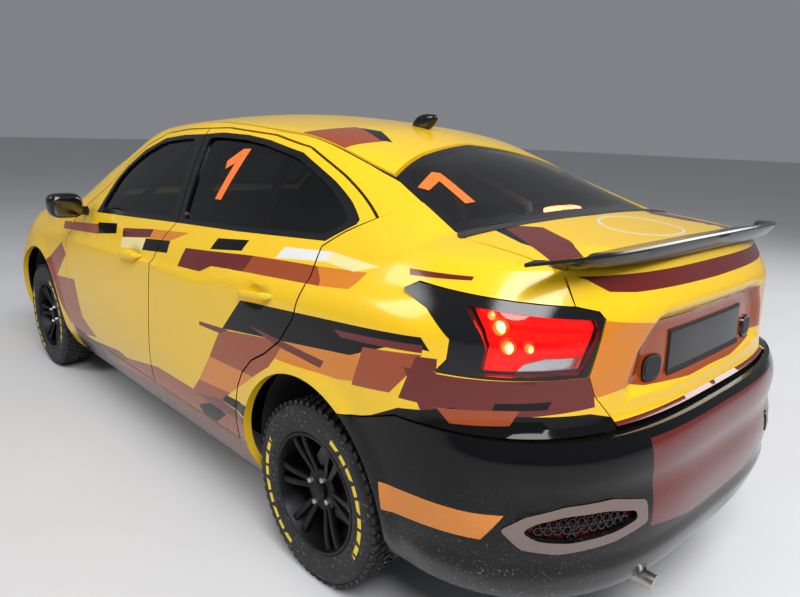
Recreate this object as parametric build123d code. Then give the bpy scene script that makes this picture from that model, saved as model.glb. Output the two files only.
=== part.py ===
from build123d import *
import os
from math import cos, radians, sin, sqrt

# A four-door rally saloon. Millimetres; X forward, Y left, Z up.
# The origin is on the ground at mid-length and mid-width.
# Overall size and stance
length = 4410
wheelbase = 2635
front_overhang = 865
track = 1510
roof_height = 1487
ground_clearance = 178

front_axle_x = length / 2 - front_overhang
rear_axle_x = front_axle_x - wheelbase
nose_x = length / 2
tail_x = -length / 2

# Wheels and tyres
tyre_radius = 302
tyre_width = 195
tread_width = 160
rim_radius = 198
rim_width = 178
rim_well_radius = 170
rim_wall = 7
hub_bore_radius = 30
hub_clearance = 0.3
spoke_count = 6
spoke_width = 46
spoke_depth = 22
spoke_face_y = 56
hub_face_y = 52
hub_radius = 72
disc_radius = 130
disc_thickness = 22
wheel_y = track / 2
hub_z = tyre_radius

# Wheel arches: the opening stands higher than the hub, for the wheel's travel
arch_rise = 50
rear_arch_radius = 350
front_arch_radius = 362
wheelhouse_margin = 8
wheelhouse_wall = 6
front_wheelhouse_inner_y = 452
rear_wheelhouse_inner_y = 560

# Walls, shut gaps and clearances
door_thickness = 72
frame_thickness = 26
door_rail_drop = 3
side_depth = 118
pillar_depth = 82
roof_thickness = 34
lid_thickness = 30
lid_edge_thickness = 12
fender_thickness = 30
bumper_thickness = 36
glass_thickness = 5
glass_inset = 9
shut_gap = 8
pocket_clearance = 12
seat_gap = 0.3

# Plan outline of the tail and the nose
end_bow = 18
corner_bow = 85
tail_panel_x = -2125
tail_round_x = -1480
tail_corner = (-2052, 596)
bumper_round_x = -1480
bumper_corner = (-2098, 655)
nose_round_x = 1500
nose_corner = (2050, 640)

# Levels
sill_top = 338
sill_bottom = 215
floor_bottom = 205
floor_thickness = 28
rear_bumper_top = 716
rear_bumper_bottom = 262
front_bumper_top = 655
front_bumper_bottom = 196
grille_top = 770
grille_half_width = 400

# Body cross-sections from tail to nose.
# Columns: x, then half-width and height of the low edge, the widest line, the crease, the belt
# and the roof rail, and last the height at the centre line.
SECTIONS = [
    (-2215, 800, 262, 874, 560, 864, 955, 715, 1098, 640, 1112, 1130),
    (-1900, 800, 252, 880, 580, 868, 955, 745, 1112, 640, 1132, 1152),
    (-1600, 800, 232, 882, 600, 868, 945, 762, 1115, 565, 1160, 1190),
    (-1250, 800, 222, 882, 600, 868, 925, 764, 1088, 505, 1292, 1352),
    (-800, 800, 215, 880, 600, 868, 900, 764, 1066, 555, 1402, 1452),
    (-250, 800, 215, 878, 600, 868, 872, 762, 1036, 585, 1432, roof_height),
    (200, 800, 215, 876, 600, 866, 850, 770, 1010, 592, 1402, 1452),
    (600, 800, 215, 874, 600, 862, 825, 782, 985, 640, 1235, 1285),
    (1020, 800, 215, 872, 600, 858, 795, 790, 955, 712, 1000, 1040),
    (1450, 800, 212, 874, 580, 850, 755, 780, 900, 690, 950, 1000),
    (1850, 795, 205, 872, 550, 835, 690, 760, 820, 640, 870, 925),
    (2215, 790, 196, 865, 500, 820, 620, 740, 715, 590, 760, 806),
]

# Shut lines in the side view, as x and z
SPLIT_LINE = [(-168, sill_top), (-212, 870), (-262, 1045), (-238, 1412)]
FRONT_DOOR_EDGE = [(832, sill_top), (822, 610), (845, 765), (836, 905), (760, 1000)]
FRONT_DOOR_TOP = [(560, 1128), (440, 1238), (122, 1384)]
REAR_DOOR_TOP = [(-380, 1416), (-690, 1396), (-905, 1360), (-1115, 1278), (-1250, 1222), (-1372, 1172)]
REAR_DOOR_EDGE = [(-1232, 1088), (-1268, 974), (-1238, 871), (-1172, 783), (-1008, 676), (-918, 560),
                  (-888, 470), (-880, sill_top)]
# Window openings in the side view
FRONT_WINDOW = [(566, 1004), (452, 1198), (116, 1346), (-205, 1372), (-226, 1060)]
REAR_WINDOW_SIDE = [(-300, 1064), (-276, 1380), (-670, 1360), (-880, 1324), (-1085, 1246), (-1215, 1188),
                    (-1262, 1160), (-1205, 1112)]
# Openings of the side frame behind the doors
FRONT_APERTURE = [(760, sill_top + 30), (762, 900), (560, 1040), (440, 1185), (120, 1332), (-180, 1352),
                  (-178, 1045), (-120, 870), (-100, sill_top + 30)]
REAR_APERTURE = [(-262, sill_top + 30), (-300, 870), (-352, 1045), (-335, 1362), (-660, 1340),
                 (-860, 1302), (-1060, 1226), (-1150, 1170), (-1140, 1060), (-1165, 960), (-1080, 800),
                 (-930, 690), (-830, 560), (-800, sill_top + 30)]

# Doors. Columns: name, shut line, window opening, hinge axis as x and y
DOORS = (
    ("front", FRONT_DOOR_EDGE + FRONT_DOOR_TOP + SPLIT_LINE[::-1], FRONT_WINDOW, (797, 861)),
    ("rear", SPLIT_LINE + REAR_DOOR_TOP + REAR_DOOR_EDGE, REAR_WINDOW_SIDE, (-243, 866)),
)
hinge_levels = (500, 790)
hinge_slot = 56
hinge_slot_behind = 13
hinge_slot_ahead = 90
hinge_pin_inset = 6
hinge_plate = 10
pin_radius = 6
pin_clearance = 0.3
hinge_barrel = 8
# The edge of a door ahead of its pin is a thin lip, and what stays inside it turns in this radius
door_lip = 10
hinge_sweep = 58
# Tail lamp in the side view
TAIL_LAMP = [(-1650, 1034), (-1692, 1056), (-2200, 984), (-2200, 856), (-1794, 856), (-1834, 902),
             (-1824, 942), (-1742, 1004)]
# Boot lid: side edge seen from behind, as y and z from the bottom up
lid_bottom = 724
lid_front_x = -1642
lid_front_bow = 50
lid_arm_y = 500
bonnet_arm_y = 600
# Gooseneck of the boot lid in the side view, from the pivot
LID_NECK = [(9, -4), (-73, -203), (-154, -226), (-245, -103), (-245, 55), (-225, 55), (-225, -97),
            (-146, -203), (-87, -187), (-9, 4)]
lid_neck_boss = 14
lid_edge_width = 40
LID_EDGE = [(498, lid_bottom), (505, 740), (560, 808), (572, 860), (536, 998), (604, 1032), (600, 1300)]
# Roof, windscreen and rear window in the plan view
roof_edge_y = 548
roof_edge_rear_y = 508
rear_window_top = (-1256, 488)
rear_window_bottom_y = 572
rear_window_bottom_x = -1606
rear_window_bow = 46
rear_window_top_x = -1120
windscreen_top_x = 240
windscreen_bow = 34
windscreen_bottom = (930, 650)
pillar_base_x = 950

# Nose
NOSE_PROFILE = [(0, 150), (2150, 190), (2192, 300), (2205, 430), (2205, 520), (2180, 620), (2135, 720),
                (2098, 776), (2062, 832), (2010, 884), (1900, 960), (0, 1600)]
FENDER = [(700, sill_bottom), (700, 985), (pillar_base_x, 985), (pillar_base_x, 1100), (2300, 1100),
          (2300, grille_top), (1950, grille_top), (1905, 812), (1770, 792), (1850, front_bumper_top),
          (1600, front_bumper_top), (1600, sill_bottom)]
HEADLAMP = [(2300, front_bumper_top), (2300, grille_top), (1950, grille_top), (1905, 812), (1770, 792),
            (1850, front_bumper_top)]
BONNET_PLAN = [(1035, 0), (1035, 700), (1900, 640), (2300, 560), (2300, 0)]
bonnet_low = 780
lower_intake_half_width = 460
lower_intake = (286, 420)
lamp_depth = 72
# The lamp's face stands back where the edge of the lid swings past it: depth, reach from the middle, heights
lamp_relief = 9
lamp_relief_y = 568
lamp_relief_z = (918, 1012)

# Cabin
dash_half_width = 560
column_tilt = 22
column_radius = 16
steering_centre = (345, 370, 890)
steering_radius = 172
seat_y = 370
seat_half_width = 220
seat_wall = 46
cage_y = 625
cage_radius = 19
bend_margin = 1
hoop_x = -610
hoop_top = 1338

# Floor
floor_half_width = 650
floor_step = 440
boot_floor = 336
boot_end_x = -2060
rail_bottom = 330
rail_inner_y = 372
subframe_bottom = 187
engine_rear_x = 1062
wheelhouse_reach = 45
wheelhouse_outer_y = wheel_y + wheelhouse_reach

# Lids: hinge axes
bonnet_axis = (985, 985)
boot_axis = (-1460, 1095)

# Rear suspension: trailing arms joined by a beam, ahead of the axle
trailing_arm = 390
beam_ahead = 165
# Front suspension: the steering axis runs from the ball joint to the strut's top
ball_joint = (front_axle_x + 5, 700, 215)
strut_top = (front_axle_x - 18, 590, 800)


def outline(points):
    """Closed face through the points."""
    return make_face([Line(a, b) for a, b in zip(points, points[1:] + points[:1])])


def side_prism(face, y_low, y_high):
    return extrude(Plane.XZ.offset(-y_high) * face, y_high - y_low)


def top_prism(face, z_low, z_high):
    return extrude(Plane.XY.offset(z_low) * face, z_high - z_low)


def front_prism(face, x_low, x_high):
    return extrude(Plane.YZ.offset(x_low) * face, x_high - x_low)


def block(x0, x1, y0, y1, z0, z1):
    return Pos((x0 + x1) / 2, (y0 + y1) / 2, (z0 + z1) / 2) * Box(x1 - x0, y1 - y0, z1 - z0)


def both(shape):
    return shape + mirror(shape, Plane.XZ)


def tube(start, end, radius):
    a, b = Vector(*start), Vector(*end)
    plane = Plane(origin=a, z_dir=b - a)
    return extrude(plane * Circle(radius), (b - a).length)


def rod_path(points, radius):
    """Round bar through the points, with a slightly larger ball at each bend."""
    solid = None
    for a, b in zip(points[:-1], points[1:]):
        piece = tube(a, b, radius)
        solid = piece if solid is None else solid + piece
    for point in points[1:-1]:
        solid = solid + Pos(*point) * Sphere(radius + bend_margin)
    return solid


def cross_section(row, side, glass, top, low):
    """Left half of the body at one station, drawn in by the given amounts."""
    x, y0, z0, y1, z1, y2, z2, y3, z3, y4, z4, zc = row
    y0, y1, y2 = y0 - side, y1 - side, y2 - side
    y3, y4 = y3 - (side + glass) / 2, y4 - glass
    z0, z4, zc = z0 + low, z4 - top, zc - top
    z3 = z3 - top / 2
    crown = zc - z4
    half = y4 / 2
    radius = (y4 * y4 + crown * crown) / (2 * crown)
    mid_z = zc - radius + sqrt(radius * radius - half * half)
    edges = [
        Line((0, z0), (y0, z0)),
        ThreePointArc((y0, z0), (y1, z1), (y2, z2)),
        Line((y2, z2), (y3, z3)),
        Line((y3, z3), (y4, z4)),
        ThreePointArc((y4, z4), (half, mid_z), (0, zc)),
        Line((0, zc), (0, z0)),
    ]
    return Plane.YZ.offset(x) * make_face(edges)


def half_body(side=0, glass=0, top=0, low=0, rows=SECTIONS):
    return loft([cross_section(row, side, glass, top, low) for row in rows], ruled=True)


def bulge(a, b, direction, amount):
    """Arc from a to b whose middle stands out by amount along a direction."""
    size = sqrt(direction[0] ** 2 + direction[1] ** 2)
    middle = ((a[0] + b[0]) / 2 + direction[0] / size * amount, (a[1] + b[1]) / 2 + direction[1] / size * amount)
    return ThreePointArc(a, middle, b)


def plan(end_x, corner, round_x, inset=0):
    """Left half of the plan view from the middle of the car to one end."""
    sign = -1 if end_x < 0 else 1
    side_y = 900 - inset
    tip = (end_x - sign * inset, 0)
    shoulder = (corner[0] - sign * inset, corner[1] - inset)
    side_point = (round_x, side_y)
    edges = [
        Line((0, 0), tip),
        bulge(tip, shoulder, (sign, 0), end_bow),
        bulge(shoulder, side_point, (sign, 1.6), corner_bow),
        Line(side_point, (0, side_y)),
        Line((0, side_y), (0, 0)),
    ]
    return top_prism(make_face(edges), 0, 1700)


def disc_y(x, z, radius, y_low, y_high):
    """Cylinder across the car."""
    return extrude(Plane.XZ.offset(-y_high) * Pos(x, z) * Circle(radius), y_high - y_low)


def save(name, shape):
    export_step(shape, "parts/" + name + ".step")


def save_pair(name, left):
    save(name + "_left", left)
    save(name + "_right", mirror(left, Plane.XZ))


def shut(points, amount):
    """A shut line's face, drawn in or out by half the gap."""
    return offset(outline(points), amount=amount, kind=Kind.INTERSECTION)


def doors(skin, inner, lip_inner, glass_layer):
    wall = skin - inner
    for name, points, window, (axis_x, axis_y) in DOORS:
        panel = wall & side_prism(shut(points, -shut_gap / 2), 430, 900)
        hole = side_prism(outline(window), 430, 900)
        for z in hinge_levels:
            half = hinge_slot / 2
            panel = panel - block(axis_x - hinge_slot_behind, axis_x + hinge_slot_ahead, 700, axis_y + 3,
                                  z - half, z + half)
            pin = Cylinder(pin_radius + pin_clearance, hinge_slot + 40)
            panel = panel - Pos(axis_x, axis_y - hinge_pin_inset, z) * pin
        relief = lip_inner & block(axis_x, axis_x + 140, 500, 900, 200, 1000)
        panel = panel - (relief - Pos(axis_x, axis_y - hinge_pin_inset, 600) * Cylinder(hinge_sweep, 900))
        save_pair("door_" + name, panel - hole)
        save_pair("door_glass_" + name, glass_layer & hole)


def door_pockets(skin, back):
    """Room that the doors fill, down to the rebate of the side frame."""
    room = skin - back
    pocket = None
    for name, points, window, axis in DOORS:
        part = room & side_prism(shut(points, shut_gap / 2), 430, 910)
        pocket = part if pocket is None else pocket + part
    return pocket


def door_hinges(deep):
    """Plates and pins that stand out of the pillars into the slots of the doors."""
    parts = None
    for name, points, window, (axis_x, axis_y) in DOORS:
        for z in hinge_levels:
            pin_y = axis_y - hinge_pin_inset
            plate = block(axis_x - hinge_barrel, axis_x + hinge_barrel, 720, pin_y,
                          z - hinge_plate / 2, z + hinge_plate / 2) - deep
            hinge = plate + Pos(axis_x, pin_y, z) * Cylinder(hinge_barrel, hinge_plate)
            hinge = hinge + Pos(axis_x, pin_y, z) * Cylinder(pin_radius, hinge_slot + 32)
            parts = hinge if parts is None else parts + hinge
    return parts


def arch_cut(axle_x, radius, y_low, y_high):
    return disc_y(axle_x, hub_z + arch_rise, radius, y_low, y_high)


def lid_face(grow=0):
    """Boot lid seen from behind, left half."""
    points = [(0, lid_bottom - grow)] + [(y + grow, z) for y, z in LID_EDGE]
    points[1] = (LID_EDGE[0][0] + grow, lid_bottom - grow)
    return outline(points + [(0, 1300)])


def deck_cut(x_high, y_side, bow, z_low=900):
    """Plan prism behind a line that bows to the rear, left half."""
    edges = [
        Line((-2400, 0), (x_high - bow, 0)),
        ThreePointArc((x_high - bow, 0), (x_high - bow * 0.75, y_side / 2), (x_high, y_side)),
        Line((x_high, y_side), (-2400, y_side)),
        Line((-2400, y_side), (-2400, 0)),
    ]
    return top_prism(make_face(edges), z_low, 1400)


def lamp_prism():
    return side_prism(outline(TAIL_LAMP), 480, 900)


def boot_lid(outer, thick, thin):
    reach = front_prism(lid_face(-shut_gap / 2), -2300, lid_front_x - shut_gap)
    core = front_prism(outline([(0, lid_bottom + 4), (470, lid_bottom + 4), (490, 1020),
                                (596, 1040), (596, 1300), (0, 1300)]), -2300, lid_front_x)
    behind = deck_cut(lid_front_x, 700, lid_front_bow, 600)
    middle = deck_cut(lid_front_x - lid_edge_width, 700, lid_front_bow, 600)
    left = ((outer - thick) & core & reach & middle) + ((outer - thin) & reach & behind)
    x, z = boot_axis
    arm = side_prism(outline([(x + dx, z + dz) for dx, dz in LID_NECK]), lid_arm_y, lid_arm_y + 22)
    arm = arm + disc_y(x, z, lid_neck_boss, lid_arm_y, lid_arm_y + 22)
    left = left + arm - disc_y(x, z, pin_radius + pin_clearance, lid_arm_y - 10, lid_arm_y + 30)
    save("boot_lid", both(left))


def spoiler(grown):
    edges = outline([(-1975, 1160), (-2075, 1152), (-2092, 1166), (-2060, 1172), (-1990, 1176)])
    foot = outline([(-1985, 1136), (-2055, 1128), (-2060, 1160), (-1985, 1165)])
    blade = side_prism(edges, 0, 610)
    tip = extrude(Plane.XZ.offset(-610) * edges, -125, taper=4)
    save("boot_spoiler", both((blade + tip + side_prism(foot, 0, 560)) - grown))


def wheels():
    half = tyre_width / 2
    tread = tread_width / 2
    bead = rim_width / 2 - 7.5
    tyre_points = [
        (192, -bead), (199.5, -bead), (206, -half + 4), (248, -half), (286, -tread - 9), (tyre_radius, -tread),
        (tyre_radius, tread), (286, tread + 9), (248, half), (206, half - 4), (199.5, bead), (192, bead),
        (192, bead - 12), (205, bead - 12), (246, half - 12), (278, tread), (290, tread - 14),
        (290, -tread + 14), (278, -tread), (246, -half + 12), (205, -bead + 12), (192, -bead + 12),
    ]
    tyre = revolve(Plane.XY * outline(tyre_points), Axis.Y)
    w = rim_width / 2
    seat = 192 - seat_gap
    rim_points = [
        (rim_radius, -w), (rim_radius, -w + 6), (seat, -w + 7.3), (seat, -w + 30), (rim_well_radius, -w + 46),
        (rim_well_radius, w - 60), (seat, w - 34), (seat, w - 7.3), (rim_radius, w - 6), (rim_radius, w),
        (rim_radius - 8, w), (seat - 9, w - 12), (seat - 9, w - 36), (rim_well_radius - rim_wall, w - 60),
        (rim_well_radius - rim_wall, -w + 46), (seat - rim_wall, -w + 30), (seat - rim_wall, -w),
    ]
    rim = revolve(Plane.XY * outline(rim_points), Axis.Y)
    spoke = block(48, 176, spoke_face_y - spoke_depth, spoke_face_y, -spoke_width / 2, spoke_width / 2)
    for index in range(spoke_count):
        rim = rim + Rot(0, index * 360 / spoke_count, 0) * spoke
    rim = rim + disc_y(0, 0, hub_radius, -20, hub_face_y)
    rim = rim + disc_y(0, 0, disc_radius, -20 - disc_thickness, -20)
    rim = rim - disc_y(0, 0, hub_bore_radius, -60, 40)
    for end, axle_x in (("front", front_axle_x), ("rear", rear_axle_x)):
        place = Pos(axle_x, wheel_y, hub_z)
        save_pair("tyre_" + end, place * tyre)
        save_pair("rim_" + end, place * rim)


def front_suspension():
    stub_end = wheel_y + 38
    spindle = hub_bore_radius - hub_clearance
    hub = disc_y(front_axle_x, hub_z, spindle, 640, stub_end)
    carrier = block(front_axle_x - 42, front_axle_x + 42, 628, 690, 232, 405)
    carrier = carrier + block(front_axle_x - 30, front_axle_x + 40, 664, 704, 224, 250)
    arm = block(front_axle_x - 150, front_axle_x - 30, 640, 664, 292, 312)
    caliper = block(front_axle_x + 70, front_axle_x + 152, 690, 708, hub_z - 46, hub_z + 46)
    caliper = caliper + block(front_axle_x + 30, front_axle_x + 90, 662, 690, hub_z - 30, hub_z + 30)
    foot = (front_axle_x, 628, 390)
    strut = tube(foot, strut_top, 25) + tube((front_axle_x, 650, 330), (front_axle_x, 622, 420), 30)
    seat = (foot[0] + (strut_top[0] - foot[0]) * 0.6, foot[1] + (strut_top[1] - foot[1]) * 0.6,
            foot[2] + (strut_top[2] - foot[2]) * 0.6)
    spring = tube(seat, strut_top, 56)
    length_up = 15.2 / (strut_top[2] - foot[2])
    rod_end = tuple(strut_top[i] + (strut_top[i] - foot[i]) * length_up for i in range(3))
    rod = tube(strut_top, rod_end, 12)
    save_pair("front_knuckle", hub + carrier + arm + caliper + strut + spring + rod)
    half_arm = outline([(front_axle_x - 24, 664), (front_axle_x + 34, 664), (front_axle_x + 60, 560),
                        (front_axle_x + 150, 400), (front_axle_x + 150, 300), (front_axle_x - 120, 300),
                        (front_axle_x - 120, 400), (front_axle_x - 60, 520)])
    lower = top_prism(half_arm, subframe_bottom, subframe_bottom + 24)
    member = block(front_axle_x - 130, front_axle_x + 160, 0, 360, subframe_bottom, subframe_bottom + 44)
    post = block(front_axle_x - 120, front_axle_x + 140, 358, 430, subframe_bottom, rail_bottom - seat_gap)
    post = post - block(front_axle_x - 90, front_axle_x + 110, 320, 440, subframe_bottom + 60, rail_bottom - 30)
    save("front_subframe", both(lower + member + post))


def rear_axle():
    spindle = hub_bore_radius - hub_clearance
    front = rear_axle_x + trailing_arm
    beam = rear_axle_x + beam_ahead
    arm = outline([(front, 285), (front, 330), (beam - 20, 345), (rear_axle_x - 40, 340), (rear_axle_x - 60, 300),
                   (rear_axle_x - 40, 262), (beam - 20, 268)])
    left = side_prism(arm, 470, 515) + disc_y(rear_axle_x, hub_z, spindle, 500, wheel_y + 38)
    left = left + disc_y(rear_axle_x, hub_z, 46, 500, 690)
    left = left + disc_y(beam, 306, 38, 0, 480)
    left = left + block(front - 35, front + 15, 455, 530, 318, floor_step - floor_thickness - seat_gap)
    damper = tube((rear_axle_x - 60, 610, 300), (rear_axle_x - 95, 610, 650), 24)
    left = left + damper + block(rear_axle_x - 80, rear_axle_x, 500, 620, 270, 330)
    spring_x = rear_axle_x + 55
    spring = tube((spring_x, 492, 330), (spring_x, 492, floor_step - floor_thickness - seat_gap), 50)
    save("rear_axle", both(left + spring))


def floor_pan():
    t = floor_thickness
    z0, z1, z2 = floor_bottom, floor_step, boot_floor
    sheet = outline([(880, z0 + t), (-830, z0 + t), (-868, z1), (-1530, z1), (-1600, z2), (boot_end_x, z2),
                     (boot_end_x, z2 - t), (-1615, z2 - t), (-1545, z1 - t), (-890, z1 - t), (-850, z0), (880, z0)])
    left = side_prism(sheet, 0, floor_half_width)
    left = left - block(-900, 900, -1, 112, z0 - 10, z0 + t + 10)
    left = left + block(-850, 880, 0, 126, z0 + t, 330) - block(-950, 900, -1, 112, z0 - 10, 316)
    rail_outer_y = front_wheelhouse_inner_y - wheelhouse_wall
    left = left + block(800, 1980, rail_inner_y, rail_outer_y, rail_bottom, rail_bottom + 90)
    left = left + block(800, 880, rail_inner_y, rail_outer_y, z0 + t, rail_bottom)
    for axle_x, radius, inner_y in ((front_axle_x, front_arch_radius, front_wheelhouse_inner_y),
                                    (rear_axle_x, rear_arch_radius, rear_wheelhouse_inner_y)):
        inside = radius + wheelhouse_margin
        room = arch_cut(axle_x, inside, inner_y, 1000)
        shell = arch_cut(axle_x, inside + wheelhouse_wall, inner_y - wheelhouse_wall, wheelhouse_outer_y)
        left = left + (shell & block(-2300, 2300, 0, 1000, 233, 800))
        left = left - room
    left = left - block(rear_axle_x - 110, rear_axle_x + 70, 440, 600, 200, 404)
    tower = Pos(strut_top[0], strut_top[1], 770) * Cylinder(82, 110)
    tower = tower - Pos(strut_top[0], strut_top[1], 762) * Cylinder(74, 110)
    left = left + tower - Pos(strut_top[0], strut_top[1], 700) * Cylinder(74, 120)
    room = plan(tail_x, bumper_corner, bumper_round_x, bumper_thickness + 4)
    save("floor_pan", both(left & (room + block(-1, 2300, 0, 1000, 0, 1700))))


def bulkheads(outer, thick):
    wall = block(880 + seat_gap, 900, 0, 610, floor_bottom, 930)
    wall = wall - block(800, 950, rail_inner_y - 1, front_wheelhouse_inner_y, rail_bottom - 1, rail_bottom + 91)
    wall = wall - arch_cut(front_axle_x, front_arch_radius + wheelhouse_margin + wheelhouse_wall + 1,
                           front_wheelhouse_inner_y - 10, 1000)
    wall = wall - block(800, 950, -1, 112, floor_bottom - 5, 300)
    cowl = side_prism(outline([(880, 916), (1012, 916), (1012, 930), (905, 930), (905, 940), (940, 1022),
                               (920, 1032), (880, 940)]), 0, 636)
    shelf = block(-1590, -1235, 0, 545, 1092, 1108)
    shelf = shelf - block(-1700, -1430, lid_arm_y - 12, lid_arm_y + 34, 1000, 1200)
    x, z = boot_axis
    shelf = shelf + block(x - 14, x + 14, lid_arm_y + 34, 545, z - 14, 1108)
    shelf = shelf + disc_y(x, z, pin_radius, lid_arm_y - 4, lid_arm_y + 36)
    x, z = bonnet_axis
    cowl = cowl + block(x - 12, x + 12, bonnet_arm_y + 16, bonnet_arm_y + 26, 920, z + 10)
    cowl = cowl + disc_y(x, z, pin_radius, bonnet_arm_y - 4, bonnet_arm_y + 20)
    seat_wall = block(-1250, -1235, 0, 545, floor_step + seat_gap, 1092)
    tail = block(boot_end_x - 20, boot_end_x - seat_gap, 0, 560, boot_floor - 20, lid_bottom - 12)
    tail = tail & plan(tail_x, bumper_corner, bumper_round_x, bumper_thickness + 4)
    deck = (outer - thick) & (deck_cut(rear_window_bottom_x, 700, rear_window_bow)
                              - deck_cut(lid_front_x, 700, lid_front_bow)) & centre_prism()
    save("bulkheads", both(wall + cowl) + both(shelf + seat_wall) + both(tail) + both(deck))


def centre_prism():
    """Everything between the two side frames above the belt, left half of the plan."""
    return top_prism(outline([(1100, 0), (1100, 664), (930, 656), (240, roof_edge_y), (-985, roof_edge_rear_y),
                              rear_window_top, (rear_window_bottom_x, rear_window_bottom_y),
                              (lid_front_x, LID_EDGE[-1][0] + shut_gap / 2), (lid_front_x - 60, LID_EDGE[-1][0] + 4),
                              (lid_front_x - 60, 0)]), 900, 1600)


def side_frame(outer, deep, skin, door_back, fender_layer):
    region = outline([(pillar_base_x, sill_bottom), (pillar_base_x, 1500), (-2300, 1500), (-2300, rear_bumper_top),
                      (-1590, rear_bumper_top), (-1590, sill_bottom - 20)])
    left = (outer - deep) & side_prism(region, 300, 900)
    left = left - centre_prism()
    left = left - front_prism(lid_face(shut_gap / 2), -2400, lid_front_x)
    left = left - block(-1650, 1000, 0, floor_half_width + seat_gap, 100, 700)
    left = left - block(-2300, -1600, 0, 470, 100, 740)
    left = left - door_pockets(skin, door_back)
    for points in (FRONT_APERTURE, REAR_APERTURE):
        left = left - side_prism(outline(points), 300, 910)
    left = left - arch_cut(rear_axle_x, rear_arch_radius, 300, 1000)
    left = left - arch_cut(rear_axle_x, rear_arch_radius + wheelhouse_margin + wheelhouse_wall + seat_gap,
                           300, wheelhouse_outer_y + seat_gap)
    left = left - arch_cut(front_axle_x, front_arch_radius + wheelhouse_margin + wheelhouse_wall + seat_gap,
                           300, 1000)
    left = left - lamp_prism()
    left = left - fender_layer
    save_pair("side_frame", left + door_hinges(deep))


def nose_profile():
    return side_prism(outline(NOSE_PROFILE), 0, 900)


def front_bumper(nose_outer, nose_inner):
    wall = nose_outer - (nose_inner & block(0, 2300, -1, 1000, 0, front_bumper_top - bumper_thickness))
    region = block(1600, 2300, 0, 1000, 100, front_bumper_top)
    left = wall & region
    centre = (nose_outer - nose_inner) & block(1900, 2300, 0, grille_half_width, 500, grille_top)
    left = left - block(1500, 2300, -1, grille_half_width, 560, front_bumper_top + 1) + centre
    left = left - block(2000, 2300, -1, grille_half_width - 40, 560, grille_top - 56)
    left = left - block(2000, 2300, -1, lower_intake_half_width, lower_intake[0], lower_intake[1])
    left = left - arch_cut(front_axle_x, front_arch_radius, 0, 1000)
    ring = front_arch_radius + wheelhouse_margin + wheelhouse_wall + seat_gap
    left = left - arch_cut(front_axle_x, ring, 0, wheelhouse_outer_y + seat_gap)
    save("front_bumper", both(left))


def rear_bumper(body):
    plan_out = plan(tail_x, bumper_corner, bumper_round_x)
    plan_in = plan(tail_x, bumper_corner, bumper_round_x, bumper_thickness)
    t = bumper_thickness
    inner = half_body(t, t, t, -100) & plan_in & block(-2300, 0, -1, 1000, 0, rear_bumper_top - t)
    left = (body & plan_out & block(-2300, -1590, 0, 1000, rear_bumper_bottom, rear_bumper_top)) - inner
    left = left - block(-2125, -1500, -1, 640, rear_bumper_top - 100, rear_bumper_top + 1)
    left = left - arch_cut(rear_axle_x, rear_arch_radius, 0, 1000)
    ring = rear_arch_radius + wheelhouse_margin + wheelhouse_wall + seat_gap
    save("rear_bumper", both(left - arch_cut(rear_axle_x, ring, 0, wheelhouse_outer_y + seat_gap)))


def lamps(outer, nose_outer):
    back = half_body(lamp_depth, lamp_depth, lamp_depth)
    rear_back = back & plan(tail_panel_x, tail_corner, tail_round_x, lamp_depth)
    rear = ((outer - rear_back) & lamp_prism()) - front_prism(lid_face(shut_gap / 2), -2400, lid_front_x)
    relief = outer - Pos(lamp_relief, 0, 0) * outer
    rear = rear - (relief & block(-2300, -2000, 0, lamp_relief_y, *lamp_relief_z))
    save("tail_lamps", both(rear))
    front_back = back & plan(nose_x, nose_corner, nose_round_x, lamp_depth) & Pos(-lamp_depth, 0, 0) * nose_profile()
    face = side_prism(outline(HEADLAMP), grille_half_width + seat_gap, 900)
    save("headlamps", both((nose_outer - front_back) & face))


def bonnet(nose_outer):
    t = lid_thickness - 2
    inner = half_body(t, t, t) & (plan(nose_x, nose_corner, nose_round_x, t) + block(-1, 1510, 0, 1000, 0, 1700))
    inner = inner & Pos(-t, 0, 0) * nose_profile()
    region = top_prism(outline(BONNET_PLAN), bonnet_low, 1200)
    x, z = bonnet_axis
    arm = side_prism(outline([(x - 12, z - 12), (x + 60, z - 26), (x + 150, z - 26), (x + 150, z - 9), (x + 60, z + 2),
                              (x - 12, z + 12)]), bonnet_arm_y, bonnet_arm_y + 8)
    arm = arm + (side_prism(outline([(x + 70, z - 20), (x + 140, z - 20), (x + 140, 1100), (x + 70, 1100)]),
                            bonnet_arm_y, bonnet_arm_y + 8) & inner)
    arm = arm - disc_y(x, z, pin_radius + pin_clearance, bonnet_arm_y - 10, bonnet_arm_y + 20)
    save("bonnet", both(((nose_outer - inner) & region) + arm))


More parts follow.
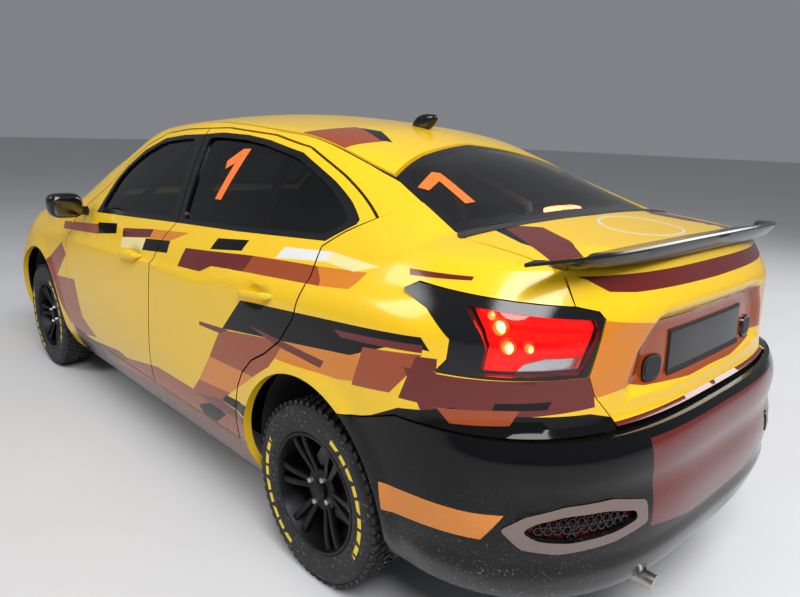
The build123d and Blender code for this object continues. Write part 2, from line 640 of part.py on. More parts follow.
def glazing(outer, roof_inner, glass_layer):
    edge = roof_edge_y - seat_gap
    roof_line = [(windscreen_top_x, edge), (-985, roof_edge_rear_y - seat_gap),
                 (rear_window_top[0], rear_window_top[1] - seat_gap)]
    back_mid = ((rear_window_top[0] + 3 * rear_window_top_x) / 4, rear_window_top[1] / 2)
    front_mid = (windscreen_top_x + windscreen_bow * 0.75, edge / 2)
    front_tip = (windscreen_top_x + windscreen_bow, 0)
    roof_face = make_face([
        Line(front_tip, (rear_window_top_x, 0)),
        ThreePointArc((rear_window_top_x, 0), back_mid, roof_line[2]),
        Line(roof_line[2], roof_line[1]),
        Line(roof_line[1], roof_line[0]),
        ThreePointArc(roof_line[0], front_mid, front_tip),
    ])
    save("roof", both((outer - roof_inner) & top_prism(roof_face, 1100, 1600)))
    base = windscreen_bottom
    screen_face = make_face([
        Line(front_tip, (base[0] + 20, 0)),
        ThreePointArc((base[0] + 20, 0), (base[0] + 15, base[1] / 2), base),
        Line(base, roof_line[0]),
        ThreePointArc(roof_line[0], front_mid, front_tip),
    ])
    save("windscreen", both(glass_layer & top_prism(screen_face, 900, 1600)))
    low = (rear_window_bottom_x, rear_window_bottom_y - seat_gap)
    low_tip = (rear_window_bottom_x - rear_window_bow, 0)
    low_mid = (rear_window_bottom_x - rear_window_bow * 0.75, low[1] / 2)
    window_face = make_face([
        Line((rear_window_top_x, 0), low_tip),
        ThreePointArc(low_tip, low_mid, low),
        Line(low, roof_line[2]),
        ThreePointArc(roof_line[2], back_mid, (rear_window_top_x, 0)),
    ])
    save("rear_window", both(glass_layer & top_prism(window_face, 1000, 1600)))


def mirrors(skin):
    head = fillet(block(618, 738, 838, 982, 952, 1072).edges(), 28)
    foot = block(645, 715, 740, 850, 962, 1000)
    save_pair("mirror", (head + foot) - skin)


def cabin():
    dash = side_prism(outline([(880, 700), (880, 912), (780, 930), (560, 900), (470, 840), (480, 740), (560, 690)]),
                      -dash_half_width, dash_half_width)
    tilt = radians(column_tilt)
    centre = Vector(*steering_centre)
    along = Vector(-cos(tilt), 0, sin(tilt))
    far = centre - along * 260
    dash = dash - tube(tuple(centre - along * 300), tuple(centre), column_radius + hub_clearance)
    save("dashboard", dash)
    plane = Plane(origin=centre, z_dir=along)
    rim = plane * Torus(steering_radius, 15)
    hub = plane * Pos(0, 0, -20) * Cylinder(42, 34)
    for turn in (0, 120, 240):
        hub = hub + plane * Rot(0, 0, turn) * Pos(steering_radius / 2, 0, -8) * Box(steering_radius, 34, 10)
    save("steering_wheel", rim + hub + tube(tuple(far), tuple(centre - along * 10), column_radius))


def seats():
    shell = side_prism(outline([(230, 300), (230, 420), (100, 470), (-150, 480), (-230, 560), (-420, 1000),
                                (-470, 1160), (-540, 1160), (-560, 1100), (-440, 620), (-390, 300)]),
                       seat_y - seat_half_width, seat_y + seat_half_width)
    hollow = side_prism(outline([(300, 400), (-230, 396), (-300, 450), (-470, 1000), (-520, 1250), (-100, 1250),
                                 (300, 800)]),
                        seat_y - seat_half_width + seat_wall, seat_y + seat_half_width - seat_wall)
    seat = shell - hollow
    for y in (seat_y - 170, seat_y + 130):
        seat = seat + block(-330, 180, y, y + 40, floor_bottom + floor_thickness + seat_gap, 300)
    save("bucket_seats", both(seat))


def roll_cage():
    y, r = cage_y, cage_radius
    base = floor_bottom + floor_thickness + seat_gap
    x, top = hoop_x, hoop_top
    shoulder = (x, 440, top)
    header = (130, 486, 1312)
    rear_foot = (-1190, 430, floor_step + seat_gap)
    # Bars. Columns: radius, points
    bars = [
        (r, [(x, y, base), (x, y, 960), shoulder, (x, 0, top)]),
        (r, [shoulder, header, (600, 584, 1006), (735, y, 860), (745, y, base)]),
        (r - 2, [header, (header[0], 0, header[2])]),
        (r - 3, [(x, y, 360), (742, y, 700)]),
        (r - 3, [(x, y, 700), (745, y, 360)]),
        (r - 2, [(x, y, 860), (x, 0, 860)]),
        (r - 2, [(x + 6, 418, top - 3), (-1120, 430, 1130), (-1190, 430, 900), rear_foot]),
    ]
    cage = None
    for radius, points in bars:
        bar = rod_path(points, radius)
        cage = bar if cage is None else cage + bar
    save("roll_cage", both(cage))


def underside():
    z = subframe_bottom - seat_gap
    guard = outline([(1000, ground_clearance), (1960, ground_clearance), (2082, 222), (2078, 231),
                     (1955, z), (1000, z)])
    save("sump_guard", side_prism(guard, -340, 340))
    block_low = subframe_bottom + 44 + seat_gap
    engine = block(engine_rear_x, 1560, -356, 356, block_low, 782)
    save("engine_block", chamfer(engine.edges(), 40))
    pipe = rod_path([(engine_rear_x - seat_gap, 0, 262), (-905, 0, 262), (-1010, 0, 376), (-1270, 60, 376),
                     (-1450, 330, 376), (-1600, 330, 262), (-1660, 330, 246)], 25)
    pipe = pipe + tube((-1650, 330, 246), (-1990, 330, 246), 57) + tube((-1980, 330, 240), (-2190, 330, 232), 24)
    save("exhaust", pipe)


os.makedirs("parts", exist_ok=True)

# Outer forms and the inner forms that give each wall its depth, left half
front_room = block(-1, 2300, 0, 1000, 0, 1700)
rear_room = block(-2300, 1, 0, 1000, 0, 1700)
tail = plan(tail_panel_x, tail_corner, tail_round_x)
nose = plan(nose_x, nose_corner, nose_round_x)
body = half_body()
outer = body & (tail + front_room)
nose_outer = body & nose & (nose_profile() + block(-1, 1950, 0, 1000, 0, 1700))
t = bumper_thickness
nose_inner = (half_body(t, t, t, -100) & plan(nose_x, nose_corner, nose_round_x, t)
              & (Pos(-t, 0, 0) * nose_profile() + block(-1, 1900, 0, 1000, -100, 1700)))
deep = half_body(side_depth, pillar_depth, 50, 25) & (plan(tail_panel_x, tail_corner, tail_round_x, 60) + front_room)
cabin_rows = SECTIONS[1:10]
skin = half_body(rows=cabin_rows)
door_inner = half_body(door_thickness, frame_thickness, door_rail_drop, rows=cabin_rows)
door_back = half_body(door_thickness + pocket_clearance, frame_thickness + pocket_clearance, door_rail_drop + 2,
                      rows=cabin_rows)
roof_inner = half_body(frame_thickness, frame_thickness, roof_thickness, rows=cabin_rows)
g = glass_inset
glass_layer = half_body(g, g, g, rows=cabin_rows)
g = glass_inset + glass_thickness
glass_layer = glass_layer - half_body(g, g, g, rows=cabin_rows)
t = lid_thickness
thick = half_body(t, t, t) & plan(tail_panel_x, tail_corner, tail_round_x, t)
t = lid_edge_thickness
thin = half_body(t, t, t) & plan(tail_panel_x, tail_corner, tail_round_x, t)

fender_face = side_prism(outline(FENDER), 400, 900)
t = fender_thickness
fender = fender_face & ((nose_outer - half_body(t, t, t)))
bonnet_room = top_prism(offset(outline(BONNET_PLAN), amount=shut_gap, kind=Kind.INTERSECTION), 600, 1200)
ring = front_arch_radius + wheelhouse_margin + wheelhouse_wall + seat_gap
fender = fender - bonnet_room - block(900, pillar_base_x + 120, 0, BONNET_PLAN[1][1] + shut_gap, 900, 1200)
fender = fender - side_prism(shut(DOORS[0][1], shut_gap / 2), 430, 910)
fender = fender - arch_cut(front_axle_x, front_arch_radius, 0, 1000) - block(600, 2300, 0, 560, 0, 1200)
save_pair("fender_front", fender - arch_cut(front_axle_x, ring, 0, wheelhouse_outer_y + seat_gap))
t = fender_thickness + seat_gap
fender_layer = fender_face & (body - half_body(t, t, t))

doors(skin, door_inner, half_body(door_lip, door_lip, rows=cabin_rows), glass_layer)
side_frame(outer, deep, skin, door_back, fender_layer)
front_bumper(nose_outer, nose_inner)
rear_bumper(body)
lamps(outer, nose_outer)
bonnet(nose_outer)
boot_lid(outer, thick, thin)
spoiler(body)
glazing(outer, roof_inner, glass_layer)
mirrors(skin)
wheels()
front_suspension()
rear_axle()
floor_pan()
bulkheads(outer, thick)
cabin()
seats()
roll_cage()
underside()
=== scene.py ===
from math import cos, pi, radians, sin

import bmesh
import bpy
import numpy as np
from bpy.props import FloatProperty, FloatVectorProperty, IntProperty, PointerProperty
from mathutils import Matrix, Vector, geometry


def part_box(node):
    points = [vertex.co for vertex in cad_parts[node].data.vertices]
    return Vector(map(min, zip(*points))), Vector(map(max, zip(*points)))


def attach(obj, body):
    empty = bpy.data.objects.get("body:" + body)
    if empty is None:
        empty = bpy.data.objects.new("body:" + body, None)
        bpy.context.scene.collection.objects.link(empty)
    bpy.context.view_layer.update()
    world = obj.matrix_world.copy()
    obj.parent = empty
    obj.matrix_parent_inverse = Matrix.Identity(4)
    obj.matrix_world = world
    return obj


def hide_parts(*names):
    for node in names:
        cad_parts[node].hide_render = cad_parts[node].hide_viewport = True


bl_info = {
    "name": "Rally Saloon",
    "version": (1, 0, 0),
    "blender": (4, 5, 0),
    "location": "View3D > Sidebar > Rally Saloon",
    "description": "Builds the looks of a four-door rally saloon round its fixed frame, piece by piece.",
    "category": "Add Mesh",
}

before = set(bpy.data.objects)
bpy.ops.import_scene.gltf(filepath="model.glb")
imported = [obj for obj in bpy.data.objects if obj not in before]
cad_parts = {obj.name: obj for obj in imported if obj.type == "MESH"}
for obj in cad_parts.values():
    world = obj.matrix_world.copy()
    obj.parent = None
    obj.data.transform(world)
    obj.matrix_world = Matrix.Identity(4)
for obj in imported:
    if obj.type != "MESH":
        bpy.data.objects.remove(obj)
SIDES = (("left", 1), ("right", -1))

# The body's cross-sections from tail to nose, in metres. Columns: x, half-width and height of the low edge,
# of the widest line, of the crease, of the belt and of the roof rail, and the height at the centre line.
SECTIONS = np.array([
    (-2.215, .800, .262, .874, .560, .864, .955, .715, 1.098, .640, 1.112, 1.130),
    (-1.900, .800, .252, .880, .580, .868, .955, .745, 1.112, .640, 1.132, 1.152),
    (-1.600, .800, .232, .882, .600, .868, .945, .762, 1.115, .565, 1.160, 1.190),
    (-1.250, .800, .222, .882, .600, .868, .925, .764, 1.088, .505, 1.292, 1.352),
    (-0.800, .800, .215, .880, .600, .868, .900, .764, 1.066, .555, 1.402, 1.452),
    (-0.250, .800, .215, .878, .600, .868, .872, .762, 1.036, .585, 1.432, 1.487),
    (0.200, .800, .215, .876, .600, .866, .850, .770, 1.010, .592, 1.402, 1.452),
    (0.600, .800, .215, .874, .600, .862, .825, .782, .985, .640, 1.235, 1.285),
    (1.020, .800, .215, .872, .600, .858, .795, .790, .955, .712, 1.000, 1.040),
    (1.450, .800, .212, .874, .580, .850, .755, .780, .900, .690, .950, 1.000),
    (1.850, .795, .205, .872, .550, .835, .690, .760, .820, .640, .870, .925),
    (2.215, .790, .196, .865, .500, .820, .620, .740, .715, .590, .760, .806),
])
CORNER_STATIONS = (-1.600, 1.020)
TAIL_HEIGHTS = (.22, .30, .42, .56, .68, .71, .735, .76, .90, 1.00, 1.08, 1.14)
TAIL_REACH = (2.13, 2.17, 2.195, 2.20, 2.186, 2.178, 2.136, 2.130, 2.125, 2.118, 2.094, 2.062)
NOSE_HEIGHTS = (.150, .190, .300, .430, .520, .620, .720, .776, .832, .884, .960, 1.30)
NOSE_REACH = (2.11, 2.150, 2.192, 2.205, 2.205, 2.180, 2.135, 2.098, 2.062, 2.010, 1.900, 1.55)
TAIL_ROUND_X = -1.45
NOSE_ROUND_X = 1.50
TAIL_POWER = 3.2
NOSE_POWER = 2.5
CORNER_TURN = 0.86
# Distances that reach the middle of the car, carried on round the corners
TAIL_MIDDLE = -2.801
NOSE_MIDDLE = 2.851
# The top term's slope, the rounding where side and roof meet, and how much wider it is above these heights
TOP_SLOPE = .93
EDGE_ROUNDING = .022
RAIL_ROUNDING = .03
RAIL_HEIGHTS = (1.15, 1.30)
ARCH_CENTRE_RISE = 0.05
ARCH_LIP = .009
STAMP_DEPTH = .009
# Depth of a door's wall, and how much thinner it is round the window
DOOR_DEPTH = .072
FRAME_SAVING = .046

# Outlines that meet at the shut lines, as x and z in the side view
SPLIT_LINE = [(-.168, .338), (-.200, .700), (-.212, .870), (-.240, .990), (-.262, 1.045), (-.256, 1.20),
              (-.238, 1.412)]
FRONT_DOOR_EDGE = [(.832, .338), (.818, .480), (.822, .610), (.845, .765), (.836, .905), (.760, 1.000)]
FRONT_DOOR_TOP = [(.560, 1.128), (.440, 1.238), (.290, 1.322), (.122, 1.384), (-.060, 1.404)]
REAR_DOOR_TOP = [(-.380, 1.416), (-.690, 1.396), (-.905, 1.360), (-1.115, 1.278), (-1.250, 1.222),
                 (-1.372, 1.172)]
REAR_DOOR_EDGE = [(-1.300, 1.128), (-1.245, 1.080), (-1.266, .974), (-1.238, .871), (-1.172, .783),
                  (-1.090, .722), (-1.008, .676), (-.950, .618), (-.918, .560), (-.894, .470), (-.880, .338)]
FRONT_DOOR = FRONT_DOOR_EDGE + FRONT_DOOR_TOP + SPLIT_LINE[::-1]
REAR_DOOR = SPLIT_LINE + REAR_DOOR_TOP + REAR_DOOR_EDGE
DAYLIGHT = [(.590, .988), (.500, 1.155), (.432, 1.220), (.290, 1.302), (.117, 1.361), (-.060, 1.380),
            (-.223, 1.387), (-.364, 1.397), (-.540, 1.392), (-.678, 1.378), (-.889, 1.342), (-1.097, 1.260),
            (-1.225, 1.205), (-1.314, 1.162), (-1.318, 1.150), (-1.244, 1.095), (-.760, 1.062),
            (-.250, 1.034), (.200, 1.008)]
FRONT_GLASS = [(.545, 1.012), (.470, 1.158), (.410, 1.212), (.280, 1.284), (.116, 1.342), (-.060, 1.362),
               (-.176, 1.368), (-.200, 1.200), (-.206, 1.052)]
REAR_GLASS = [(-.304, 1.056), (-.298, 1.200), (-.282, 1.374), (-.364, 1.378), (-.540, 1.374), (-.672, 1.360),
              (-.880, 1.324), (-1.082, 1.244), (-1.205, 1.190), (-1.280, 1.154), (-1.222, 1.112),
              (-.760, 1.080)]
FRONT_HINGE_X, REAR_HINGE_X = .797, -.243
FRONT_HANDLE, REAR_HANDLE = (-.012, .872), (-1.025, .902)
FRONT_APERTURE = [(.760, .368), (.762, .900), (.560, 1.040), (.440, 1.185), (.120, 1.332), (-.180, 1.352),
                  (-.178, 1.045), (-.120, .870), (-.100, .368)]
REAR_APERTURE = [(-.262, .368), (-.300, .870), (-.352, 1.045), (-.335, 1.362), (-.660, 1.340), (-.860, 1.302),
                 (-1.060, 1.226), (-1.150, 1.170), (-1.140, 1.060), (-1.165, .960), (-1.080, .800),
                 (-.930, .690), (-.830, .560), (-.800, .368)]
# Outlines round the tail: distance along the side, carried on round the corner, and z
TAIL_LAMP = [(-1.654, 1.035), (-1.699, 1.059), (-2.101, 1.032), (-2.166, 1.018), (-2.186, .998),
             (-2.149, .860), (-1.782, .856), (-1.812, .893), (-1.816, .943), (-1.744, 1.004)]
LID_SEAM = [(-2.070, 1.102), (-2.101, 1.032), (-2.166, 1.018), (-2.186, .998), (-2.149, .860), (-2.170, .808),
            (-2.234, .737), (-2.236, .724)]
BUMPER_SEAM = [(-1.475, .652), (-1.565, .672), (-1.684, .716), (-2.236, .716)]
QUARTER_TOP = [(-1.372, 1.172), (-1.480, 1.138), (-1.600, 1.116), (-1.750, 1.108), (-1.900, 1.104),
               (-2.070, 1.102)]
# Outlines in the plan view, as x and y
WINDSCREEN = [(.955, 0), (.952, .300), (.930, .650), (.600, .606), (.240, .548), (.262, .300), (.274, 0)]
ROOF_EDGE = [(.274, 0), (.262, .300), (.240, .548), (-.250, .548), (-.600, .540), (-.985, .508),
             (-1.256, .488), (-1.190, .300), (-1.130, 0)]
REAR_WINDOW = [(-1.130, 0), (-1.190, .300), (-1.256, .488), (-1.606, .572), (-1.636, .300), (-1.652, 0)]
LID_FRONT = [(-1.692, 0), (-1.682, .300), (-1.650, .560), (-1.656, .596)]
# Rail from the foot of the windscreen to the tail: pairs of a low point (x, z) and a high point (x, y)
RAIL = (
    ((.836, .905), (1.030, .700)),
    ((.760, 1.000), (.940, .664)),
    ((.560, 1.128), (.700, .620)),
    ((.440, 1.238), (.560, .600)),
    ((.290, 1.322), (.400, .576)),
    ((.122, 1.384), (.240, .548)),
    ((-.060, 1.404), (-.060, .548)),
    ((-.380, 1.416), (-.380, .546)),
    ((-.690, 1.396), (-.690, .536)),
    ((-.905, 1.360), (-.940, .513)),
    ((-1.115, 1.278), (-1.150, .497)),
    ((-1.250, 1.222), (-1.290, .496)),
    ((-1.372, 1.172), (-1.430, .530)),
)
# Nose outlines: distance along the side, carried on round the corner, and z
HEADLAMP = [(1.767, .790), (1.910, .812), (2.060, .778), (2.330, .764), (2.310, .668), (1.950, .655),
            (1.860, .668)]
FENDER_SEAM_Z = .655
GRILLE = [(2.345, .755), (2.330, .690), (2.380, .640), (NOSE_MIDDLE, .632), (NOSE_MIDDLE, .755)]
LOWER_INTAKE = [(2.30, .405), (2.27, .300), (NOSE_MIDDLE, .290), (NOSE_MIDDLE, .420)]
FOG_LAMP = (2.13, .385, .085, .055)
BONNET_SEAM = [(1.035, .700), (1.450, .672), (1.900, .640), (1.990, .580), (2.040, .470), (2.075, .300),
               (2.090, 0)]

# The pressed line along the side, as distance and z
STAMP_X = (-1.800, -1.658, -1.250, -.841, -.760, -.673, -.200, .840, 1.200, 1.600)
STAMP_Z = (1.022, 1.011, .980, .941, .912, .880, .872, .846, .842, .820)
# Tail lamp: the red lens, the clear piece in it, bands of light behind it, and the bulbs with their radii
LAMP_RED = [(-1.844, 1.024), (-2.155, .999), (-2.170, .970), (-2.128, .870), (-1.890, .864), (-1.902, .930),
            (-1.888, .964), (-1.862, .998)]
LAMP_CLEAR = [(-1.962, .870), (-1.988, .899), (-2.035, .912), (-2.128, .911), (-2.120, .881), (-2.109, .875)]
LAMP_BANDS = (
    [(-1.868, 1.012), (-2.148, .990), (-2.158, .970), (-1.935, .984)],
    [(-1.925, .974), (-2.152, .958), (-2.142, .932), (-1.952, .948)],
    [(-1.905, .872), (-1.915, .925), (-2.136, .924), (-2.132, .916), (-2.032, .916), (-1.985, .902),
     (-1.957, .872)],
)
LAMP_BULBS = (((-1.905, 1.004), .011), ((-1.926, .979), .018), ((-1.948, .936), .017), ((-1.997, .934), .012))
# Boot lid: the recess's side edge as z and distance, its depth, the plate's height range, the distance where
# the plate ends, and the ovals beside it
RECESS_Z = (.800, .833, .903, .971, 1.009)
RECESS_EDGE = (-2.250, -2.282, -2.302, -2.370, -2.417)
RECESS_DEPTH = .032
PLATE_Z = (.808, .920)
PLATE_END = -2.498
OVAL = (-2.402, .839, .046, .034)
SPOILER_REACH = .736
# Camera that shows the car as in the photograph: place, direction, roll in degrees, lens and sensor in mm
CAMERA_PLACE = (-2.837, 1.963, 1.421)
CAMERA_AHEAD = (.70027, -.67127, -.24294)
CAMERA_ROLL = 1.88
CAMERA_LENS = 29.907
CAMERA_SENSOR = 36
PICTURE_SIZE = (800, 597)
# Studio: the floor's half-size, and each light's name, place, diameter and watts
FLOOR_REACH = 60
LIGHTS = (
    ("key", (-4.8, 2.2, 6.0), 4.5, 560),
    ("fill", (3.0, 6.5, 5.5), 4.0, 230),
    ("back", (-2.5, -6.0, 5.0), 4.0, 240),
)
# Seats: distance from the car's middle, and each pad's x and z, half-sizes, squareness and lean
SEAT_Y = .370
SEAT_PADS = (
    ((-.020, .452), (.205, .168, .045), 3.2, 0),
    ((-.390, .800), (.050, .165, .300), 3.4, -.36),
    ((-.505, 1.090), (.040, .105, .085), 3.0, -.3),
)
STRAP_PATH = np.array([(-.545, 1.045), (-.470, 1.058), (-.412, 1.030), (-.372, .930), (-.330, .800),
                       (-.268, .640), (-.222, .520)])
# Wheels: the tyre's outer and inner profile, the rim's barrel and the brake disc as radius and distance
# across, the tread's rows and radii, the studs' radii with their sizes, the spokes' reach, the nuts' circle
TYRE_OUTER = [(.1985, .0800), (.2010, .0880), (.2060, .0915), (.2150, .0945), (.2200, .0962), (.2230, .0950),
              (.2360, .0968), (.2520, .0972), (.2660, .0958), (.2700, .0970), (.2780, .0945), (.2860, .0880),
              (.2900, .0800), (.2915, .0600), (.2922, .0300), (.2924, 0)]
TYRE_INNER = [(.2840, .0600), (.2720, .0820), (.2400, .0880), (.2080, .0820)]
BARREL = [(.1985, .0800), (.1985, .0880), (.1965, .0895), (.1890, .0890), (.1860, .0840), (.1830, .0660),
          (.1700, .0300), (.1690, -.0500), (.1830, -.0700), (.1900, -.0870), (.1985, -.0885), (.1985, -.0800),
          (.1915, -.0780), (.1850, -.0600), (.1740, -.0400), (.1740, .0250), (.1870, .0580), (.1910, .0760)]
BRAKE_DISC = [(.075, -.020), (.130, -.020), (.130, -.027), (.126, -.027), (.126, -.034), (.130, -.034),
              (.130, -.041), (.075, -.041)]
DISC_BELL = [(.030, .022), (.074, .018), (.078, -.022), (.070, -.022), (.066, .008), (.030, .012)]
TREAD_ROWS = (-.0745, -.0450, -.0150, .0150, .0450, .0745)
TREAD_RADII = (.2890, .3010)
STUD_RINGS = ((.2995, 1.0), (.3019, .8))
SPOKE_REACH = (.040, .186)
NUT_CIRCLE = .049

# The livery's blocks on the side and round the tail: paint, and corners as distance and z
LIVERY = (
    ("rust", ((.979, .902), (.478, .943), (.444, .901), (.967, .864))),
    ("black", ((.504, .949), (.280, .970), (.240, .930), (.450, .903))),
    ("maroon", ((.192, .960), (-.107, .991), (-.110, .958), (.160, .925))),
    ("cream", ((.160, .925), (-.080, .950), (-.086, .904), (.143, .884))),
    ("black", ((-.080, .950), (-.306, .971), (-.320, .926), (-.086, .904))),
    ("orange", ((-.107, .991), (-.420, 1.015), (-.306, .971), (-.110, .955))),
    ("maroon", ((-.457, .965), (-.920, 1.005), (-.900, .952), (-.690, .935), (-.620, .905), (-.440, .895))),
    ("rust", ((-.920, 1.005), (-1.270, 1.028), (-1.330, .984), (-.900, .952))),
    ("orange", ((-1.270, 1.028), (-1.500, 1.047), (-1.458, .998), (-1.330, .984))),
    ("black", ((-.649, 1.026), (-.852, 1.046), (-.838, 1.009), (-.639, .987))),
    ("white", ((-1.068, 1.054), (-1.315, 1.074), (-1.291, 1.044), (-1.044, 1.017))),
    ("cream", ((-1.315, 1.074), (-1.541, 1.068), (-1.439, 1.040), (-1.291, 1.044))),
    ("orange",
     ((-1.180, .806), (-1.552, .850), (-1.531, .762), (-1.462, .747), (-1.344, .738), (-1.130, .720))),
    ("black", ((-.934, .864), (-1.744, .935), (-1.770, .905), (-1.686, .905), (-1.510, .830), (-.817, .740))),
    ("maroon", ((-1.436, .884), (-1.750, .916), (-1.750, .896), (-1.470, .870))),
    ("rust", ((-1.560, .866), (-1.750, .892), (-1.714, .832), (-1.661, .770), (-1.524, .750))),
    ("maroon", ((-1.734, .885), (-1.790, .890), (-1.790, .770), (-1.690, .765), (-1.714, .832))),
    ("rust", ((-.802, .733), (-1.200, .790), (-1.123, .687), (-1.022, .622), (-.721, .612))),
    ("maroon", ((-.647, .727), (-.860, .744), (-.802, .718), (-.647, .713))),
    ("maroon", ((-1.000, .792), (-1.400, .782), (-1.384, .757), (-1.150, .766))),
    ("orange", ((-.721, .612), (-1.022, .622), (-.864, .515), (-.628, .495))),
    ("rust", ((-.628, .495), (-.864, .515), (-.776, .443), (-.561, .431))),
    ("rust", ((1.300, .560), (1.207, .642), (.916, .800), (.844, .745), (1.010, .601), (1.058, .540))),
    ("rust", ((1.058, .600), (.724, .634), (.658, .448), (.497, .374), (.747, .333), (.912, .365))),
    ("rust", ((.110, .372), (-.242, .433), (-.580, .437), (-.960, .445), (-.960, .200), (.420, .200),
              (.420, .285))),
    ("maroon", ((.587, .339), (.220, .382), (.081, .369), (.364, .285), (.601, .299))),
    ("maroon", ((.420, .285), (-.206, .330), (-.591, .345), (-.960, .350), (-.960, .200), (.420, .200))),
    ("black", ((-.591, .378), (-.728, .434), (-.813, .413), (-.712, .345), (-.614, .345))),
    ("black", ((-.832, .497), (-.989, .507), (-.969, .461), (-.797, .466))),
    ("maroon", ((-.575, .425), (-.780, .466), (-.968, .455), (-.945, .425), (-.736, .420))),
    ("black", ((.860, .357), (.497, .331), (.300, .200), (.860, .200))),
    ("maroon", ((-1.700, .850), (-2.160, .862), (-2.175, .780), (-1.754, .751))),
    ("black", ((-1.400, .640), (-1.565, .668), (-1.690, .738), (-1.760, .752), (-1.830, .775), (-2.163, .764),
               (-2.270, .735), (-2.300, .600), (-1.400, .600))),
    ("rust", ((-1.795, .768), (-1.988, .788), (-1.967, .746), (-1.830, .735))),
    ("black", ((-1.930, .800), (-2.060, .806), (-2.050, .786), (-1.925, .782))),
    ("maroon", ((-1.651, 1.081), (-1.847, 1.085), (-1.843, 1.076), (-1.660, 1.066))),
)
REFLECTOR = [(-2.010, .491), (-2.045, .467), (-2.120, .457), (-2.240, .466), (-2.312, .484), (-2.306, .508),
             (-2.220, .526), (-2.110, .527), (-2.040, .512)]
REFLECTOR_FRAME = [(-1.962, .492), (-2.012, .441), (-2.097, .427), (-2.246, .438), (-2.353, .462),
                   (-2.344, .526), (-2.230, .553), (-2.109, .550), (-2.013, .525)]
BUMPER_BLOCKS = (
    ("orange", ((-1.640, .512), (-1.970, .526), (-1.922, .454), (-1.650, .432))),
    ("maroon",
     ((-2.341, .690), (-2.358, .610), (-2.372, .543), (-2.372, .440), (-2.587, .405), (-2.900, .400),
      (-2.900, .690))),
)
# The same on the boot lid's rear face, where the maroon band under the spoiler is a painted shadow of the
# spoiler and the orange block is painted shade on the yellow, and on its top in the plan view
BOOT_BLOCKS = (
    # Painted shadow: this maroon band is the spoiler's shadow across the top of the lid's rear face, widest
    # where the spoiler overhangs most
    ("maroon",
     ((-2.060, 1.130), (-2.083, 1.101), (-2.137, 1.088), (-2.203, 1.059), (-2.298, 1.052), (-2.900, 1.046),
      (-2.900, 1.130))),
    # Painted shade: this orange block is the yellow between the tail lamp and the plate recess where it lies
    # in shadow, darker patch at its foot included
    ("orange",
     ((-2.187, .995), (-2.370, .971), (-2.302, .903), (-2.269, .814), (-2.150, .800), (-2.140, .860))),
    ("rust", ((-2.370, .971), (-2.900, .958), (-2.900, .785), (-2.624, .782), (-2.363, .797), (-2.269, .814),
              (-2.302, .903))),
    ("maroon", ((-2.200, .733), (-2.900, .735), (-2.900, .690), (-2.200, .690))),
)
DECK_BLOCKS = (
    ("black", ((-1.600, .455), (-1.669, .401), (-1.825, .521), (-1.789, .520))),
    ("maroon",
     ((-1.640, .420), (-1.727, .332), (-1.854, .388), (-1.954, .475), (-1.926, .575), (-1.825, .521))),
)
RING = (-1.842, -.035, .124, .116)
ROOF_BLOCKS = (
    ("rust", ((-.780, .560), (-.830, .300), (-1.040, .330), (-1.000, .560))),
    ("black", ((-.850, .300), (-.930, .260), (-1.060, .320), (-1.020, .345))),
)


def along(points, spacing):
    """A closed outline with points added so that no edge is longer than the spacing."""
    points = np.asarray(points, float)
    ends = np.roll(points, -1, axis=0)
    return np.vstack([edge_points(a, b, spacing) for a, b in zip(points, ends)])


def edge_points(start, end, spacing):
    """Evenly spaced points from start up to, and without, end."""
    count = max(1, int(np.ceil(np.linalg.norm(end - start) / spacing)))
    return start + (end - start) * (np.arange(count) / count)[:, None]


def rounded(points, radius, steps=5):
    """The outline with each corner replaced by a parabola that starts and ends a radius away from it."""
    points = np.asarray(points, float)
    before, after = np.roll(points, 1, axis=0), np.roll(points, -1, axis=0)
    to_before, to_after = before - points, after - points
    long_before = np.linalg.norm(to_before, axis=1, keepdims=True)
    long_after = np.linalg.norm(to_after, axis=1, keepdims=True)
    cut = np.minimum(radius, 0.45 * np.minimum(long_before, long_after))
    start, end = points + to_before / long_before * cut, points + to_after / long_after * cut
    t = np.linspace(0, 1, steps)[None, :, None]
    curve = start[:, None] * (1 - t) ** 2 + 2 * points[:, None] * t * (1 - t) + end[:, None] * t ** 2
    return curve.reshape(-1, 2)


def drawn_in(points, amount):
    """The outline with every edge moved inwards by an amount, outwards where it is negative."""
    points = np.asarray(points, float)
    edge = np.roll(points, -1, axis=0) - points
    after = np.roll(points, -1, axis=0)
    turning = np.sign(np.sum(points[:, 0] * after[:, 1] - after[:, 0] * points[:, 1]))
    normal = np.stack([-edge[:, 1], edge[:, 0]], axis=1) * turning
    normal /= np.linalg.norm(normal, axis=1, keepdims=True)
    previous = np.roll(normal, 1, axis=0)
    middle = normal + previous
    return points + middle * amount / np.maximum((middle * previous).sum(1, keepdims=True), 0.3)


def inside(points, loop):
    """Whether each point is in a closed outline: a line to its right crosses it an odd number of times."""
    ax, az = loop[:, 0], loop[:, 1]
    bx, bz = np.roll(ax, -1), np.roll(az, -1)
    x, z = points[:, 0:1], points[:, 1:2]
    crosses = (az > z) != (bz > z)
    rise = np.where(bz == az, 1, bz - az)
    return (((x < ax + (z - az) * (bx - ax) / rise) & crosses).sum(1) % 2) == 1


def near(points, loop, distance):
    """Whether each point is nearer than a distance to a closed outline's edges."""
    a, b = loop, np.roll(loop, -1, axis=0)
    edge = b - a
    offset = points[:, None] - a
    t = np.clip((offset * edge).sum(2) / np.maximum((edge ** 2).sum(1), 1e-12), 0, 1)
    return (np.linalg.norm(offset - t[..., None] * edge, axis=2) < distance).any(1)


